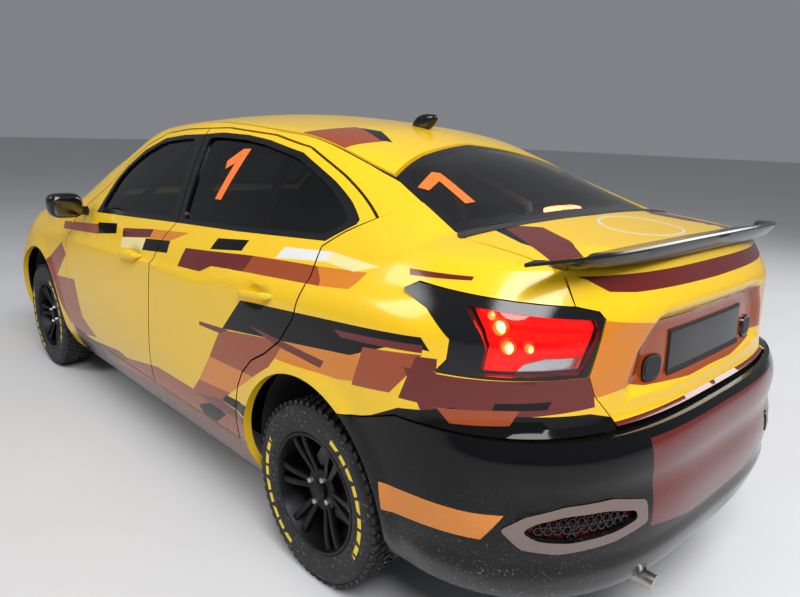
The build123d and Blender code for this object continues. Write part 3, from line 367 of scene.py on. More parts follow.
def trimmed_grid(outline, holes=(), marks=(), spacing=.03):
    """Triangles of an even grid that is trimmed to an outline and its holes, with edges along the marks too.

    Returns the points, the triangles and each one's number of the last mark that it lies in, or -1."""
    trims = [along(loop, spacing) for loop in (outline, *holes)]
    drawn = [along(loop, spacing) for loop in marks]
    low, high = trims[0].min(0), trims[0].max(0)
    count = np.maximum(np.ceil((high - low) / spacing).astype(int), 1)
    u = np.linspace(low[0], high[0], count[0] + 1)
    v = np.linspace(low[1], high[1], count[1] + 1)
    grid = np.stack(np.meshgrid(u, v, indexing="ij"), axis=-1).reshape(-1, 2)
    grid = grid[inside(grid, trims[0])]
    for loop in trims + drawn:
        grid = grid[~near(grid, loop, spacing * 0.4)]
    loops = trims + drawn
    points = np.vstack(loops + [grid])
    edges, start = [], 0
    for loop in loops:
        index = np.arange(len(loop)) + start
        edges.append(np.stack([index, np.roll(index, -1)], axis=1))
        start += len(loop)
    found = geometry.delaunay_2d_cdt(points.tolist(), np.vstack(edges).tolist(), [], 0, 1e-6, False)
    points, faces = np.array([tuple(p) for p in found[0]]), np.array(found[2])
    centres = points[faces].mean(1)
    keep = inside(centres, trims[0])
    for hole in trims[1:]:
        keep &= ~inside(centres, hole)
    faces, centres = faces[keep], centres[keep]
    zone = np.full(len(faces), -1)
    for number, loop in enumerate(drawn):
        zone[inside(centres, loop)] = number
    used, index = np.unique(faces, return_inverse=True)
    return points[used], index.reshape(-1, 3), zone


class Profile:
    """A smooth line through points: cubics with harmonic means as slopes, or each side's own at a corner."""

    def __init__(self, places, values, corners=()):
        """Places in rising order, a value at each, and the places that are corners."""
        self.places, self.values = np.asarray(places, float), np.asarray(values, float)
        rise = np.diff(self.values) / np.diff(self.places)
        left, right = np.r_[rise[0], rise], np.r_[rise, rise[-1]]
        product = left * right
        total = np.where(left + right == 0, 1, left + right)
        mean = np.where(product > 0, 2 * product / total, 0)
        corner = np.isin(self.places, corners)
        self.leaving, self.arriving = np.where(corner, right, mean), np.where(corner, left, mean)

    def __call__(self, place):
        """The line's value at a place, and at its end beyond it."""
        i = np.clip(np.searchsorted(self.places, place) - 1, 0, len(self.places) - 2)
        width = self.places[i + 1] - self.places[i]
        t = np.clip((place - self.places[i]) / width, 0, 1)
        value = self.values[i] * (1 + 2 * t) * (1 - t) ** 2 + self.leaving[i] * width * t * (1 - t) ** 2
        value = value + self.values[i + 1] * t * t * (3 - 2 * t)
        return value - self.arriving[i + 1] * width * t * t * (1 - t)


COLUMNS = [Profile(SECTIONS[:, 0], SECTIONS[:, k], CORNER_STATIONS if k > 8 else ()) for k in range(1, 12)]
TAIL = Profile(TAIL_HEIGHTS, TAIL_REACH)
NOSE = Profile(NOSE_HEIGHTS, NOSE_REACH)


def ramp(value, start, end):
    """0 before start, 1 after end, and an even S between them."""
    t = np.clip((value - start) / (end - start), 0, 1)
    return t * t * (3 - 2 * t)


def side_width(x, z):
    """Half-width at a height.

    Below the widest line a cubic draws in. Above it a parabola runs to the crease, a shoulder to the belt,
    and a slightly bowed line to the roof rail and past it."""
    at = [f(x) for f in COLUMNS[:-1]]
    low_y, low_z, wide_y, wide_z, crease_y, crease_z, belt_y, belt_z, rail_y, rail_z = at
    below = np.clip((wide_z - z) / (wide_z - low_z), 0, 1)
    above = np.clip((z - wide_z) / (crease_z - wide_z), 0, 1)
    shoulder = np.clip((z - crease_z) / (belt_z - crease_z), 0, 1)
    pillar = np.clip((z - belt_z) / (rail_z - belt_z), 0, 1.6)
    width = wide_y - (wide_y - low_y) * below ** 3
    width = np.where(z > wide_z, wide_y - (wide_y - crease_y) * above ** 2, width)
    lean = crease_y - (crease_y - belt_y) * (0.35 * shoulder + 0.65 * shoulder ** 1.6)
    width = np.where(z > crease_z, lean, width)
    return np.where(z > belt_z, belt_y - (belt_y - rail_y) * (0.75 * pillar + 0.25 * pillar ** 2), width)


def field(p):
    """Negative inside the body and about a distance near its skin.

    It is the larger of a side term and a top term, rounded where they meet. The side term compares |y| with
    the half-width, and past the rounding stations it is a superellipse in plan. The top term compares z with
    a parabola over the roof rails."""
    x, y, z = p[..., 0], np.abs(p[..., 1]), p[..., 2]
    width = side_width(x, z)
    lean = (side_width(x, z + .004) - width) / .004
    tail = np.clip((TAIL_ROUND_X - x) / (TAIL(z) - abs(TAIL_ROUND_X)), 0, None)
    nose = np.clip((x - NOSE_ROUND_X) / np.maximum(NOSE(z) - NOSE_ROUND_X, .2), 0, None)
    across = y / np.maximum(width, .02)
    plan = np.where(x < 0, (tail ** TAIL_POWER + across ** TAIL_POWER) ** (1 / TAIL_POWER),
                    (nose ** NOSE_POWER + across ** NOSE_POWER) ** (1 / NOSE_POWER))
    side = (plan - 1) * width / np.sqrt(1 + np.minimum(lean, 0) ** 2)
    rail_y, rail_z, centre_z = [f(x) for f in COLUMNS[8:]]
    top = (z - centre_z + (centre_z - rail_z) * (y / rail_y) ** 2) * TOP_SLOPE
    blend = EDGE_ROUNDING + RAIL_ROUNDING * ramp(z, *RAIL_HEIGHTS)
    gap = np.clip(blend - np.abs(side - top), 0, None)
    return np.maximum(side, top) + gap ** 2 / blend / 4


def land(start, direction, level, reach=1.35):
    """Points where rays from inside the body meet its skin, or the level, by halving the interval."""
    low, high = np.zeros(len(start)), np.full(len(start), reach)
    for _ in range(24):
        middle = (low + high) / 2
        within = field(start + direction * middle[:, None]) < level
        low, high = np.where(within, middle, low), np.where(within, high, middle)
    return start + direction * low[:, None]


def side_view(uv, level):
    """Skin points seen from the side: u runs forward, v up.

    Past the rounding stations u is carried on round the corner as a turn about the station's middle."""
    u, v = uv[:, 0], uv[:, 1]
    turn = np.where(u < 0, np.clip(TAIL_ROUND_X - u, 0, None),
                    np.clip(u - NOSE_ROUND_X, 0, None)) / CORNER_TURN
    turn = np.minimum(turn, pi / 2)
    start = np.stack([np.clip(u, TAIL_ROUND_X, NOSE_ROUND_X), 0 * u, v], axis=1)
    direction = np.stack([np.sin(turn) * np.sign(u), np.cos(turn), 0 * u], axis=1)
    return land(start, direction, level)


def top_view(uv, level):
    """Skin points seen from above: u runs forward, v to the left."""
    u, v = uv[:, 0], uv[:, 1]
    return land(np.stack([u, v, 0 * u + .45], axis=1), np.array([[0, 0, 1.0]]).repeat(len(u), 0), level)


def on_skin(points, level=0.0, rounds=6):
    """Moves points near the skin onto it, along the field's slope."""
    step = 1e-4
    for _ in range(rounds):
        value = field(points)
        slope = np.stack([(field(points + step * axis) - value) / step for axis in np.eye(3)], axis=1)
        points = points - slope * ((value - level) / np.maximum((slope ** 2).sum(1), .1))[:, None]
    return points


def open_edges(faces):
    """The edges that only one face uses, in that face's direction."""
    edges = np.vstack([faces[:, [0, 1]], faces[:, [1, 2]], faces[:, [2, 0]]])
    key = np.sort(edges, axis=1)
    _, first, count = np.unique(key, axis=0, return_index=True, return_counts=True)
    return edges[first[count == 1]]


def thick(points, inner, faces, zone, rim_zone, inner_zone=None):
    """A closed wall: outer triangles, the same ones turned round at the inner points, and a rim between them.

    Edges on the middle of the car have no rim, because the other half meets them."""
    rim = open_edges(faces)
    middle = (np.abs(points[rim][:, :, 1]) < 1e-4).all(1)
    rim, count = rim[~middle], len(points)
    walls = np.vstack([np.stack([rim[:, 1], rim[:, 0], rim[:, 0] + count], axis=1),
                       np.stack([rim[:, 1], rim[:, 0] + count, rim[:, 1] + count], axis=1)])
    all_faces = np.vstack([faces, faces[:, ::-1] + count, walls])
    back = zone if inner_zone is None else np.full(len(faces), inner_zone)
    zones = np.concatenate([zone, back, np.full(len(walls), rim_zone)])
    return np.vstack([points, inner]), all_faces, zones


def facing_out(points, faces):
    """The faces turned so that they point away from the body's middle line, where most of them do not."""
    a, b, c = points[faces[:, 0]], points[faces[:, 1]], points[faces[:, 2]]
    normal = np.cross(b - a, c - a)
    core = (a + b + c) / 3 * (.7, 0, 0) + (0, 0, .55)
    return faces if (normal * ((a + b + c) / 3 - core)).sum() > 0 else faces[:, ::-1]


def wall(view, outline, holes=(), marks=(), zones=(), depth=.02, level=0.0, spacing=.03, base=0, rim=None,
         back=None):
    """A piece of the body's wall: a trimmed grid put on the skin, and as deep as the depth says.

    The marks are outlines whose triangles get the zones' material numbers. Level and depth are lengths or
    functions of the view's two coordinates."""
    uv, faces, inside_of = trimmed_grid(outline, holes, marks, spacing)
    numbers = np.array([base, *zones])[inside_of + 1]
    outer_level = level(uv) if callable(level) else np.full(len(uv), level)
    thickness = depth(uv) if callable(depth) else np.full(len(uv), depth)
    points = view(uv, outer_level)
    faces = facing_out(points, faces)
    inner = view(uv, outer_level - thickness)
    return thick(points, inner, faces, numbers, base if rim is None else rim, back)


def strip(low, high, count, depth, base=0, level=0.0):
    """A band of the skin between two curves with as many points: straight lines moved onto the skin."""
    t = np.linspace(0, 1, count)[None, :, None]
    grid = low[:, None] * (1 - t) + high[:, None] * t
    rows = len(low)
    grid[:, 1:-1] = on_skin(grid[:, 1:-1].reshape(-1, 3), level).reshape(rows, count - 2, 3)
    flat = grid.reshape(-1, 3)
    index = np.arange(rows * count).reshape(rows, count)
    a, b, c, d = index[:-1, :-1], index[1:, :-1], index[1:, 1:], index[:-1, 1:]
    faces = np.vstack([np.stack([a, b, c], -1).reshape(-1, 3), np.stack([a, c, d], -1).reshape(-1, 3)])
    faces = facing_out(flat, faces)
    inner = on_skin(flat, level - depth)
    return thick(flat, inner, faces, np.full(len(faces), base), base, base)


def joined(*parts):
    """Several point, face and zone sets as one."""
    points, faces, zones, start = [], [], [], 0
    for part in parts:
        points.append(part[0])
        faces.append(part[1] + start)
        zones.append(part[2])
        start += len(part[0])
    return np.vstack(points), np.vstack(faces), np.concatenate(zones)


def mirrored(part):
    """The same set on the other side of the car, still facing outwards."""
    points, faces, zones = part
    return points * (1, -1, 1), faces[:, ::-1], zones


def symmetric(part):
    """The set with its mirror image."""
    return joined(part, mirrored(part))


def sided(*parts):
    """For each side of the car its name and the parts there, from the left side's parts."""
    for side, sign in SIDES:
        yield side, *(part if sign > 0 else mirrored(part) for part in parts)


def make_mesh(name, part, finishes, smooth=35, weld=2e-4):
    """A mesh object at the origin from points, faces and material numbers, with the finishes named."""
    points, faces, zones = part
    mesh = bpy.data.meshes.new(name)
    mesh.from_pydata(points.tolist(), [], faces.tolist())
    for key in finishes:
        mesh.materials.append(finish(key))
    mesh.polygons.foreach_set("material_index", np.asarray(zones, np.int32))
    mesh.validate()
    piece = bpy.data.objects.new(name, mesh)
    bpy.context.scene.collection.objects.link(piece)
    if weld:
        shape = bmesh_of(mesh)
        bmesh.ops.remove_doubles(shape, verts=shape.verts, dist=weld)
        shape.to_mesh(mesh)
        shape.free()
    mesh.shade_smooth()
    mesh.set_sharp_from_angle(angle=radians(smooth))
    return piece


def bmesh_of(mesh):
    """An editable copy of a mesh."""
    shape = bmesh.new()
    shape.from_mesh(mesh)
    return shape


def place(piece, body, slot, *nodes):
    """Seats a piece on its body and hides the nodes it replaces; the material slot it stands for is not used.
    """
    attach(piece, body)
    if nodes:
        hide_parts(*nodes)
    return piece


PAINTS = ("yellow", "maroon", "rust", "orange", "cream", "white", "black", "trim", "liner")
WHITE, BLACK, TRIM, LINER = range(5, len(PAINTS))


class Graph:
    """A material with its shader, and short ways to add nodes that lead to it."""

    def __init__(self, name, colour=(.8, .8, .8), **sockets):
        """The sockets are values of the shader, with _ for a space in their names."""
        self.material = bpy.data.materials.new(name)
        self.material.use_nodes = True
        self.tree = self.material.node_tree
        self.shader = self.tree.nodes["Principled BSDF"]
        self.material.diffuse_color = (*colour, 1)
        self.shader.inputs["Base Color"].default_value = (*colour, 1)
        for key, value in sockets.items():
            self.shader.inputs[key.replace("_", " ")].default_value = value
        self.place = self.add("ShaderNodeTexCoord").outputs["Object"]

    def add(self, kind, **settings):
        """A new node with these settings."""
        node = self.tree.nodes.new(kind)
        for key, value in settings.items():
            setattr(node, key, value)
        return node

    def link(self, source, target):
        """A link between two sockets."""
        self.tree.links.new(source, target)

    def noise(self, scale, detail=2, rough=.5):
        """Soft noise on the object."""
        node = self.add("ShaderNodeTexNoise")
        node.inputs["Scale"].default_value = scale
        node.inputs["Detail"].default_value = detail
        node.inputs["Roughness"].default_value = rough
        self.link(self.place, node.inputs["Vector"])
        return node.outputs["Fac"]

    def cells(self, scale):
        """Distance to the nearest of scattered points."""
        node = self.add("ShaderNodeTexVoronoi")
        node.inputs["Scale"].default_value = scale
        self.link(self.place, node.inputs["Vector"])
        return node.outputs["Distance"]

    def spread(self, value, low, high, to_low=0.0, to_high=1.0):
        """The range from low to high mapped to another, and kept within it."""
        node = self.add("ShaderNodeMapRange")
        self.link(value, node.inputs["Value"])
        for key, number in zip(("From Min", "From Max", "To Min", "To Max"), (low, high, to_low, to_high)):
            node.inputs[key].default_value = number
        return node.outputs["Result"]

    def maths(self, operation, first, second):
        """The result of an operation on two values or sockets."""
        node = self.add("ShaderNodeMath", operation=operation)
        for socket, value in zip(node.inputs, (first, second)):
            if isinstance(value, (int, float)):
                socket.default_value = value
            else:
                self.link(value, socket)
        return node.outputs[0]

    def mix(self, share, first, second):
        """A colour between two colours or sockets."""
        node = self.add("ShaderNodeMix", data_type="RGBA")
        self.link(share, node.inputs["Factor"])
        for socket, value in zip((node.inputs[6], node.inputs[7]), (first, second)):
            if isinstance(value, tuple):
                socket.default_value = (*value, 1)
            else:
                self.link(value, socket)
        return node.outputs[2]

    def height(self):
        """Height above the ground."""
        node = self.add("ShaderNodeSeparateXYZ")
        self.link(self.place, node.inputs["Vector"])
        return node.outputs["Z"]

    def colour(self, source):
        """Sets the shader's colour."""
        self.link(source, self.shader.inputs["Base Color"])

    def roughness(self, source):
        """Sets the shader's roughness."""
        self.link(source, self.shader.inputs["Roughness"])

    def bump(self, source, strength, distance):
        """Bends the shader's normal."""
        node = self.add("ShaderNodeBump")
        node.inputs["Strength"].default_value = strength
        node.inputs["Distance"].default_value = distance
        self.link(source, node.inputs["Height"])
        self.link(node.outputs["Normal"], self.shader.inputs["Normal"])


def road_film(graph, colour, gloss, film=(.36, .34, .31)):
    """Salt and snow dust low on the body: two noises that count for more near the road."""
    low = graph.spread(graph.height(), .66, .14)
    patches = graph.spread(graph.noise(3.2, 9, .68), .42, .78)
    specks = graph.spread(graph.noise(130, 3, .6), .60, .70)
    share = graph.maths("MULTIPLY", low, patches)
    dusty = graph.mix(graph.maths("MULTIPLY", share, .04 if max(colour) < .05 else .22), colour, film)
    snowy = graph.maths("MULTIPLY", graph.maths("MULTIPLY", specks, low),
                        graph.maths("MULTIPLY", patches, .5))
    graph.colour(graph.mix(snowy, dusty, (.78, .79, .82)))
    graph.roughness(graph.spread(share, 0, 1, gloss, max(gloss, .42)))


def paint(name, colour, gloss=.22, coat=.40, index=1.40):
    """Car paint under a clear coat, with a trace of orange peel and road film."""
    graph = Graph(name, colour, Coat_Weight=coat, Coat_Roughness=.04, IOR=index)
    road_film(graph, colour, gloss)
    graph.bump(graph.noise(420, 1), .05, .0004)
    return graph.material


def plastic(name, colour, gloss=.55, grain=900):
    """Moulded plastic with a fine grain and a little dust."""
    graph = Graph(name, colour, IOR=1.46)
    road_film(graph, colour, gloss, (.22, .21, .20))
    graph.bump(graph.cells(grain), .25, .0004)
    return graph.material


def metal(name, colour, gloss, wear=.3):
    """Metal with a brushed grain and dull patches."""
    graph = Graph(name, colour, Metallic=1.0)
    patches = graph.spread(graph.noise(14, 8, .7), .35, .75)
    graph.colour(graph.mix(graph.maths("MULTIPLY", patches, wear), colour, tuple(c * .35 for c in colour)))
    graph.roughness(graph.spread(patches, 0, 1, gloss, min(1, gloss + .3)))
    graph.bump(graph.noise(260, 3), .12, .0006)
    return graph.material


def tinted_glass(name, colour, gloss=.01):
    """Clear or tinted glass with faint smears in its gloss."""
    graph = Graph(name, colour, Transmission_Weight=1.0, IOR=1.45)
    graph.roughness(graph.spread(graph.noise(5, 6, .6), .45, .8, gloss, gloss + .05))
    return graph.material


def glowing(name, colour, strength, ripple=60):
    """A lit lamp part whose light is uneven, as behind a ribbed lens."""
    graph = Graph(name, colour, Roughness=.25, Coat_Weight=.5)
    graph.shader.inputs["Emission Strength"].default_value = strength
    cells = graph.spread(graph.cells(ripple), .0, .7)
    graph.link(graph.mix(cells, colour, tuple(c * .35 for c in colour)),
               graph.shader.inputs["Emission Color"])
    graph.bump(graph.cells(ripple), .3, .001)
    return graph.material


def rubber(name):
    """Tyre rubber: dark, dull, a little paler where the road has scuffed it, with packed snow dust."""
    graph = Graph(name, (.016, .016, .017), Roughness=.8, Specular_IOR_Level=.35)
    scuffs = graph.spread(graph.noise(24, 8, .7), .42, .75)
    dusty = graph.mix(graph.maths("MULTIPLY", scuffs, .5), (.014, .014, .015), (.07, .068, .066))
    snow = graph.spread(graph.noise(90, 4, .7), .60, .68)
    graph.colour(graph.mix(graph.maths("MULTIPLY", snow, .35), dusty, (.5, .51, .53)))
    graph.roughness(graph.spread(scuffs, 0, 1, .62, .92))
    graph.bump(graph.noise(300, 3), .3, .0008)
    return graph.material


def fabric(name, colour, scale=700):
    """Woven cloth: two crossed waves and a soft sheen."""
    graph = Graph(name, colour, Roughness=.9, Sheen_Weight=.3)
    first = graph.add("ShaderNodeTexWave", bands_direction="X")
    second = graph.add("ShaderNodeTexWave", bands_direction="Z")
    for wave in (first, second):
        wave.inputs["Scale"].default_value = scale
        graph.link(graph.place, wave.inputs["Vector"])
    weave = graph.maths("ADD", first.outputs["Fac"], second.outputs["Fac"])
    fade = graph.spread(graph.noise(9, 5), .3, .8)
    graph.colour(graph.mix(graph.maths("MULTIPLY", fade, .4), colour,
                           tuple(min(1, c * 2.2 + .01) for c in colour)))
    graph.bump(weave, .3, .0006)
    return graph.material


MATERIALS = {}


def finish(name):
    """The finish of that name, made the first time that it is asked for."""
    if name not in MATERIALS:
        MATERIALS[name] = FINISHES[name]()
    return MATERIALS[name]


def colours():
    """The colours set in the panel."""
    return bpy.context.scene.rally_paint


FINISHES = {
    "yellow": lambda: paint("paint_yellow", tuple(colours().yellow)),
    "maroon": lambda: paint("paint_maroon", tuple(colours().maroon)),
    "rust": lambda: paint("paint_rust", tuple(colours().rust)),
    "orange": lambda: paint("paint_orange", tuple(colours().orange)),
    "cream": lambda: paint("paint_cream", tuple(colours().cream)),
    "white": lambda: paint("paint_white", (.70, .69, .66)),
    "black": lambda: paint("paint_black", (.003, .003, .0035), .10, .05, 1.32),
    "trim": lambda: plastic("gloss_black_trim", (.006, .006, .007), .12, 300),
    "liner": lambda: plastic("liner_plastic", (.012, .012, .012), .8),
    "plastic": lambda: plastic("grained_plastic", (.014, .014, .015)),
    "window": lambda: tinted_glass("window_tint", (.055, .058, .058)),
    "screen": lambda: tinted_glass("screen_glass", (.34, .37, .36)),
    "lens": lambda: tinted_glass("lens_clear", (.92, .93, .95)),
    "red_lens": lambda: tinted_glass("lens_red", (.95, .10, .08)),
    "lamp_lit": lambda: glowing("lamp_lit_red", (1.0, .05, .025), 3.2),
    "lamp_glow": lambda: glowing("lamp_glow_red", (1.0, .016, .012), .75, 34),
    "lamp_core": lambda: glowing("lamp_core", (1.0, .46, .13), 14.0),
    "lamp_high": lambda: glowing("lamp_high_red", (1.0, .13, .05), 60.0),
    "pale": lambda: plastic("frame_satin", (.17, .125, .11), .3),
    "lamp_dim": lambda: plastic("lamp_dim_red", (.20, .006, .008), .2, 200),
    "lamp_warm": lambda: glowing("lamp_warm", (1.0, .13, .02), 6.0),
    "mirror": lambda: metal("mirror_glass", (.15, .155, .16), .05),
    "reflector": lambda: metal("lamp_reflector", (.75, .74, .72), .12),
    "rubber": lambda: rubber("tyre_rubber"),
    "rim": lambda: metal("rim_black", (.030, .030, .032), .35),
    "steel": lambda: metal("steel", (.50, .49, .47), .3),
    "cast": lambda: metal("cast_iron", (.13, .125, .12), .6),
    "alloy": lambda: metal("alloy", (.62, .62, .63), .35),
    "chassis": lambda: plastic("underseal", (.022, .022, .022), .85, 500),
    "cage": lambda: paint("cage_white", (.62, .61, .58), .35),
    "cloth": lambda: fabric("seat_cloth", (.018, .018, .020)),
    "belt": lambda: fabric("belt_webbing", (.45, .02, .015), 900),
    "marking": lambda: plastic("marking_yellow", (.85, .60, .03), .6),
    "number": lambda: plastic("number_orange", (.85, .16, .02), .5),
}


def painted(name, part, **settings):
    """A body piece in the livery's paints."""
    return make_mesh(name, part, PAINTS, **settings)


def zones_of(table):
    """Outlines and paint numbers of a table of blocks."""
    return [corners for _, corners in table], [PAINTS.index(key) for key, _ in table]


def arc(centre, radius, start, end, count):
    """Points on a circle between two angles in degrees, 0 forward and 90 up."""
    angle = np.radians(np.linspace(start, end, count))
    return [(centre[0] + radius * a, centre[1] + radius * b) for a, b in zip(np.cos(angle), np.sin(angle))]


def hub(end):
    """Wheel centre at the front or rear end, on the left, from the frame's own wheel."""
    low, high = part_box(f"tyre_{end}_left")
    return (low + high) / 2


def arch(end, radius, start, last, count=40):
    """Points on the wheel arch at the front or rear end, between two angles in degrees."""
    centre = hub(end)
    return arc((centre.x, centre.z + ARCH_CENTRE_RISE), radius, start, last, count)


def even_points(line, count):
    """Points at even shares of an open line's length."""
    line = np.asarray(line, float)
    length = np.r_[0, np.cumsum(np.linalg.norm(np.diff(line, axis=0), axis=1))]
    at = np.linspace(0, length[-1], count)
    return np.stack([np.interp(at, length, line[:, k]) for k in (0, 1)], axis=1)


def relief(uv):
    """Level of the side's pressings.

    It goes in at a line along the doors and the haunch, out again over a hand's height, and round each wheel
    arch it has a lip."""
    above = uv[:, 1] - np.interp(uv[:, 0], STAMP_X, STAMP_Z)
    fade = ramp(uv[:, 0], -1.80, -1.60) * (1 - ramp(uv[:, 0], 1.30, 1.60))
    level = fade * (-STAMP_DEPTH * ramp(above, -.004, .014) + STAMP_DEPTH * ramp(above, .014, .120))
    for end, radius in (("rear", body_values().arch_radius), ("front", body_values().front_arch_radius)):
        centre = hub(end)
        distance = np.hypot(uv[:, 0] - centre.x, uv[:, 1] - centre.z - ARCH_CENTRE_RISE) - radius
        level += ARCH_LIP * (1 - ramp(distance, .012, .055)) * ramp(uv[:, 1], .22, .34)
    return level


def loft(rings, closed=False):
    """A tube through rings of points (an array of ring, point and axis), with its ends closed by fans."""
    count, size = rings.shape[:2]
    index = np.arange(count * size).reshape(count, size)
    here, beside = index, np.roll(index, -1, axis=1)
    if closed:
        below, across = np.roll(here, -1, axis=0), np.roll(beside, -1, axis=0)
    else:
        here, beside, below, across = here[:-1], beside[:-1], here[1:], beside[1:]
    quads = np.stack([here, beside, across, below], axis=-1).reshape(-1, 4)
    points = rings.reshape(-1, 3)
    faces = np.vstack([quads[:, [0, 1, 2]], quads[:, [0, 2, 3]]])
    if not closed:
        points = np.vstack([points, rings[0].mean(0), rings[-1].mean(0)])
        first, last = index[0], index[-1]
        faces = np.vstack([faces, np.stack([np.roll(first, -1), first, np.full(size, count * size)], axis=1),
                           np.stack([last, np.roll(last, -1), np.full(size, count * size + 1)], axis=1)])
    return points, faces, np.zeros(len(faces), int)


def turned(profile, count, angle=2 * pi):
    """A ring about the car's cross axis from a closed profile of radius and distance across."""
    profile = np.asarray(profile, float)
    turn = np.linspace(0, angle, count, endpoint=False)[:, None]
    rings = np.stack([profile[:, 0] * np.cos(turn), np.broadcast_to(profile[:, 1], (count, len(profile))),
                      profile[:, 0] * np.sin(turn)], axis=-1)
    return loft(rings, closed=True)


def oval(size, count=16, power=2.0):
    """A superellipse of half-sizes as points of two coordinates."""
    turn = np.linspace(0, 2 * pi, count, endpoint=False)
    c, s = np.cos(turn), np.sin(turn)
    return np.stack([size[0] * np.sign(c) * np.abs(c) ** (2 / power),
                     size[1] * np.sign(s) * np.abs(s) ** (2 / power)], axis=1)


def shell(centre, size, power=2.5, rows=24, columns=32, lean=(0, 0)):
    """A superellipsoid: a rounded body of half-sizes whose corners are squarer the larger the power is.

    Lean moves its upper half along x and y, per metre of height."""
    up = np.linspace(-pi / 2, pi / 2, rows)
    around = oval((1, 1), columns, power)
    flat = np.sign(np.cos(up)) * np.abs(np.cos(up)) ** (2 / power)
    high = np.sign(np.sin(up)) * np.abs(np.sin(up)) ** (2 / power)
    rings = np.stack([flat[:, None] * around[:, 0] * size[0], flat[:, None] * around[:, 1] * size[1],
                      np.repeat(high[:, None] * size[2], columns, axis=1)], axis=-1)
    rings[..., 0] += rings[..., 2] * lean[0]
    rings[..., 1] += rings[..., 2] * lean[1]
    return loft(rings + centre)


def rod(path, radius, count=12):
    """A round bar along a path of points."""
    path = np.asarray(path, float)
    along_path = np.gradient(path, axis=0)
    along_path /= np.linalg.norm(along_path, axis=1, keepdims=True)
    side = np.cross(along_path, (0.13, 0.21, 0.97))
    side /= np.linalg.norm(side, axis=1, keepdims=True)
    other = np.cross(along_path, side)
    circle = oval((1, 1), count)
    size = np.broadcast_to(np.asarray(radius, float), (len(path),))[:, None, None]
    rings = path[:, None] + size * (circle[:, 0, None] * side[:, None] + circle[:, 1, None] * other[:, None])
    return loft(rings[:, ::-1])


def moved(part, offset):
    """The same set moved by an offset."""
    return part[0] + offset, part[1], part[2]


def numbered(part, number):
    """The same set with one material number."""
    return part[0], part[1], np.full(len(part[1]), number)


def rubber_blocks(turn, across, half_turn, half_across, low, high, skew):
    """Tread blocks on a wheel's ring as tapered boxes of eight corners and ten triangles each."""
    corner = np.array([(-1, -1), (1, -1), (1, 1), (-1, 1)], float)
    points = []
    for radius, taper in ((low, 1.0), (high, .84)):
        slant = corner[:, 1] * skew[:, None] * half_across[:, None]
        local_turn = corner[:, 0] * half_turn[:, None] * taper + slant
        local_across = corner[:, 1] * half_across[:, None] * taper
        angle = turn[:, None] + local_turn / radius
        y = across[:, None] + local_across
        points.append(np.stack([radius * np.cos(angle), y, radius * np.sin(angle)], axis=-1))
    boxes = np.concatenate(points, axis=1)
    faces = np.array([(4, 5, 6), (4, 6, 7), (0, 1, 5), (0, 5, 4), (1, 2, 6), (1, 6, 5), (2, 3, 7), (2, 7, 6),
                      (3, 0, 4), (3, 4, 7)])
    faces = faces[:, ::-1][None] + 8 * np.arange(len(turn))[:, None, None]
    return boxes.reshape(-1, 3), faces.reshape(-1, 3), np.zeros(len(turn) * 10, int)


class RallyPaint(bpy.types.PropertyGroup):
    """The livery's colours"""
    yellow: FloatVectorProperty(name="Yellow", description="Main body colour", subtype="COLOR", min=0, max=1,
                                default=(.80, .50, .010))
    maroon: FloatVectorProperty(name="Maroon", description="Dark red blocks", subtype="COLOR", min=0, max=1,
                                default=(.120, .010, .007))
    rust: FloatVectorProperty(name="Rust", description="Brown-orange blocks", subtype="COLOR", min=0, max=1,
                              default=(.29, .050, .008))
    orange: FloatVectorProperty(name="Orange", description="Orange blocks", subtype="COLOR", min=0, max=1,
                                default=(.60, .19, .012))
    cream: FloatVectorProperty(name="Cream", description="Pale yellow blocks", subtype="COLOR", min=0, max=1,
                               default=(.78, .68, .30))


class RallyBody(bpy.types.PropertyGroup):
    """Measures of the body's skin"""
    spacing: FloatProperty(name="Grid", description="Spacing of the skin's grid", unit="LENGTH",
                           min=.01, max=.1, default=.022)
    shut_gap: FloatProperty(name="Shut gap", description="Width of the gaps between panels", unit="LENGTH",
                            min=.002, max=.01, default=.006)
    arch_radius: FloatProperty(name="Rear arch", description="Radius of the rear wheel arches", unit="LENGTH",
                               min=.30, max=.40, default=.350)
    front_arch_radius: FloatProperty(name="Front arch", description="Radius of the front wheel arches",
                                     unit="LENGTH", min=.30, max=.40, default=.362)


class RallyWheels(bpy.types.PropertyGroup):
    """Measures of tyres and rims"""
    lugs: IntProperty(name="Tread blocks", description="Tread blocks in each row round a tyre",
                      min=20, max=90, default=58)
    stud: FloatProperty(name="Stud", description="Radius of a tyre stud", unit="LENGTH", min=.001, max=.005,
                        default=.0024)
    spokes: IntProperty(name="Spokes", description="Paired spokes of each rim", min=3, max=12, default=6)


def body_values():
    """The body's values set in the panel."""
    return bpy.context.scene.rally_body


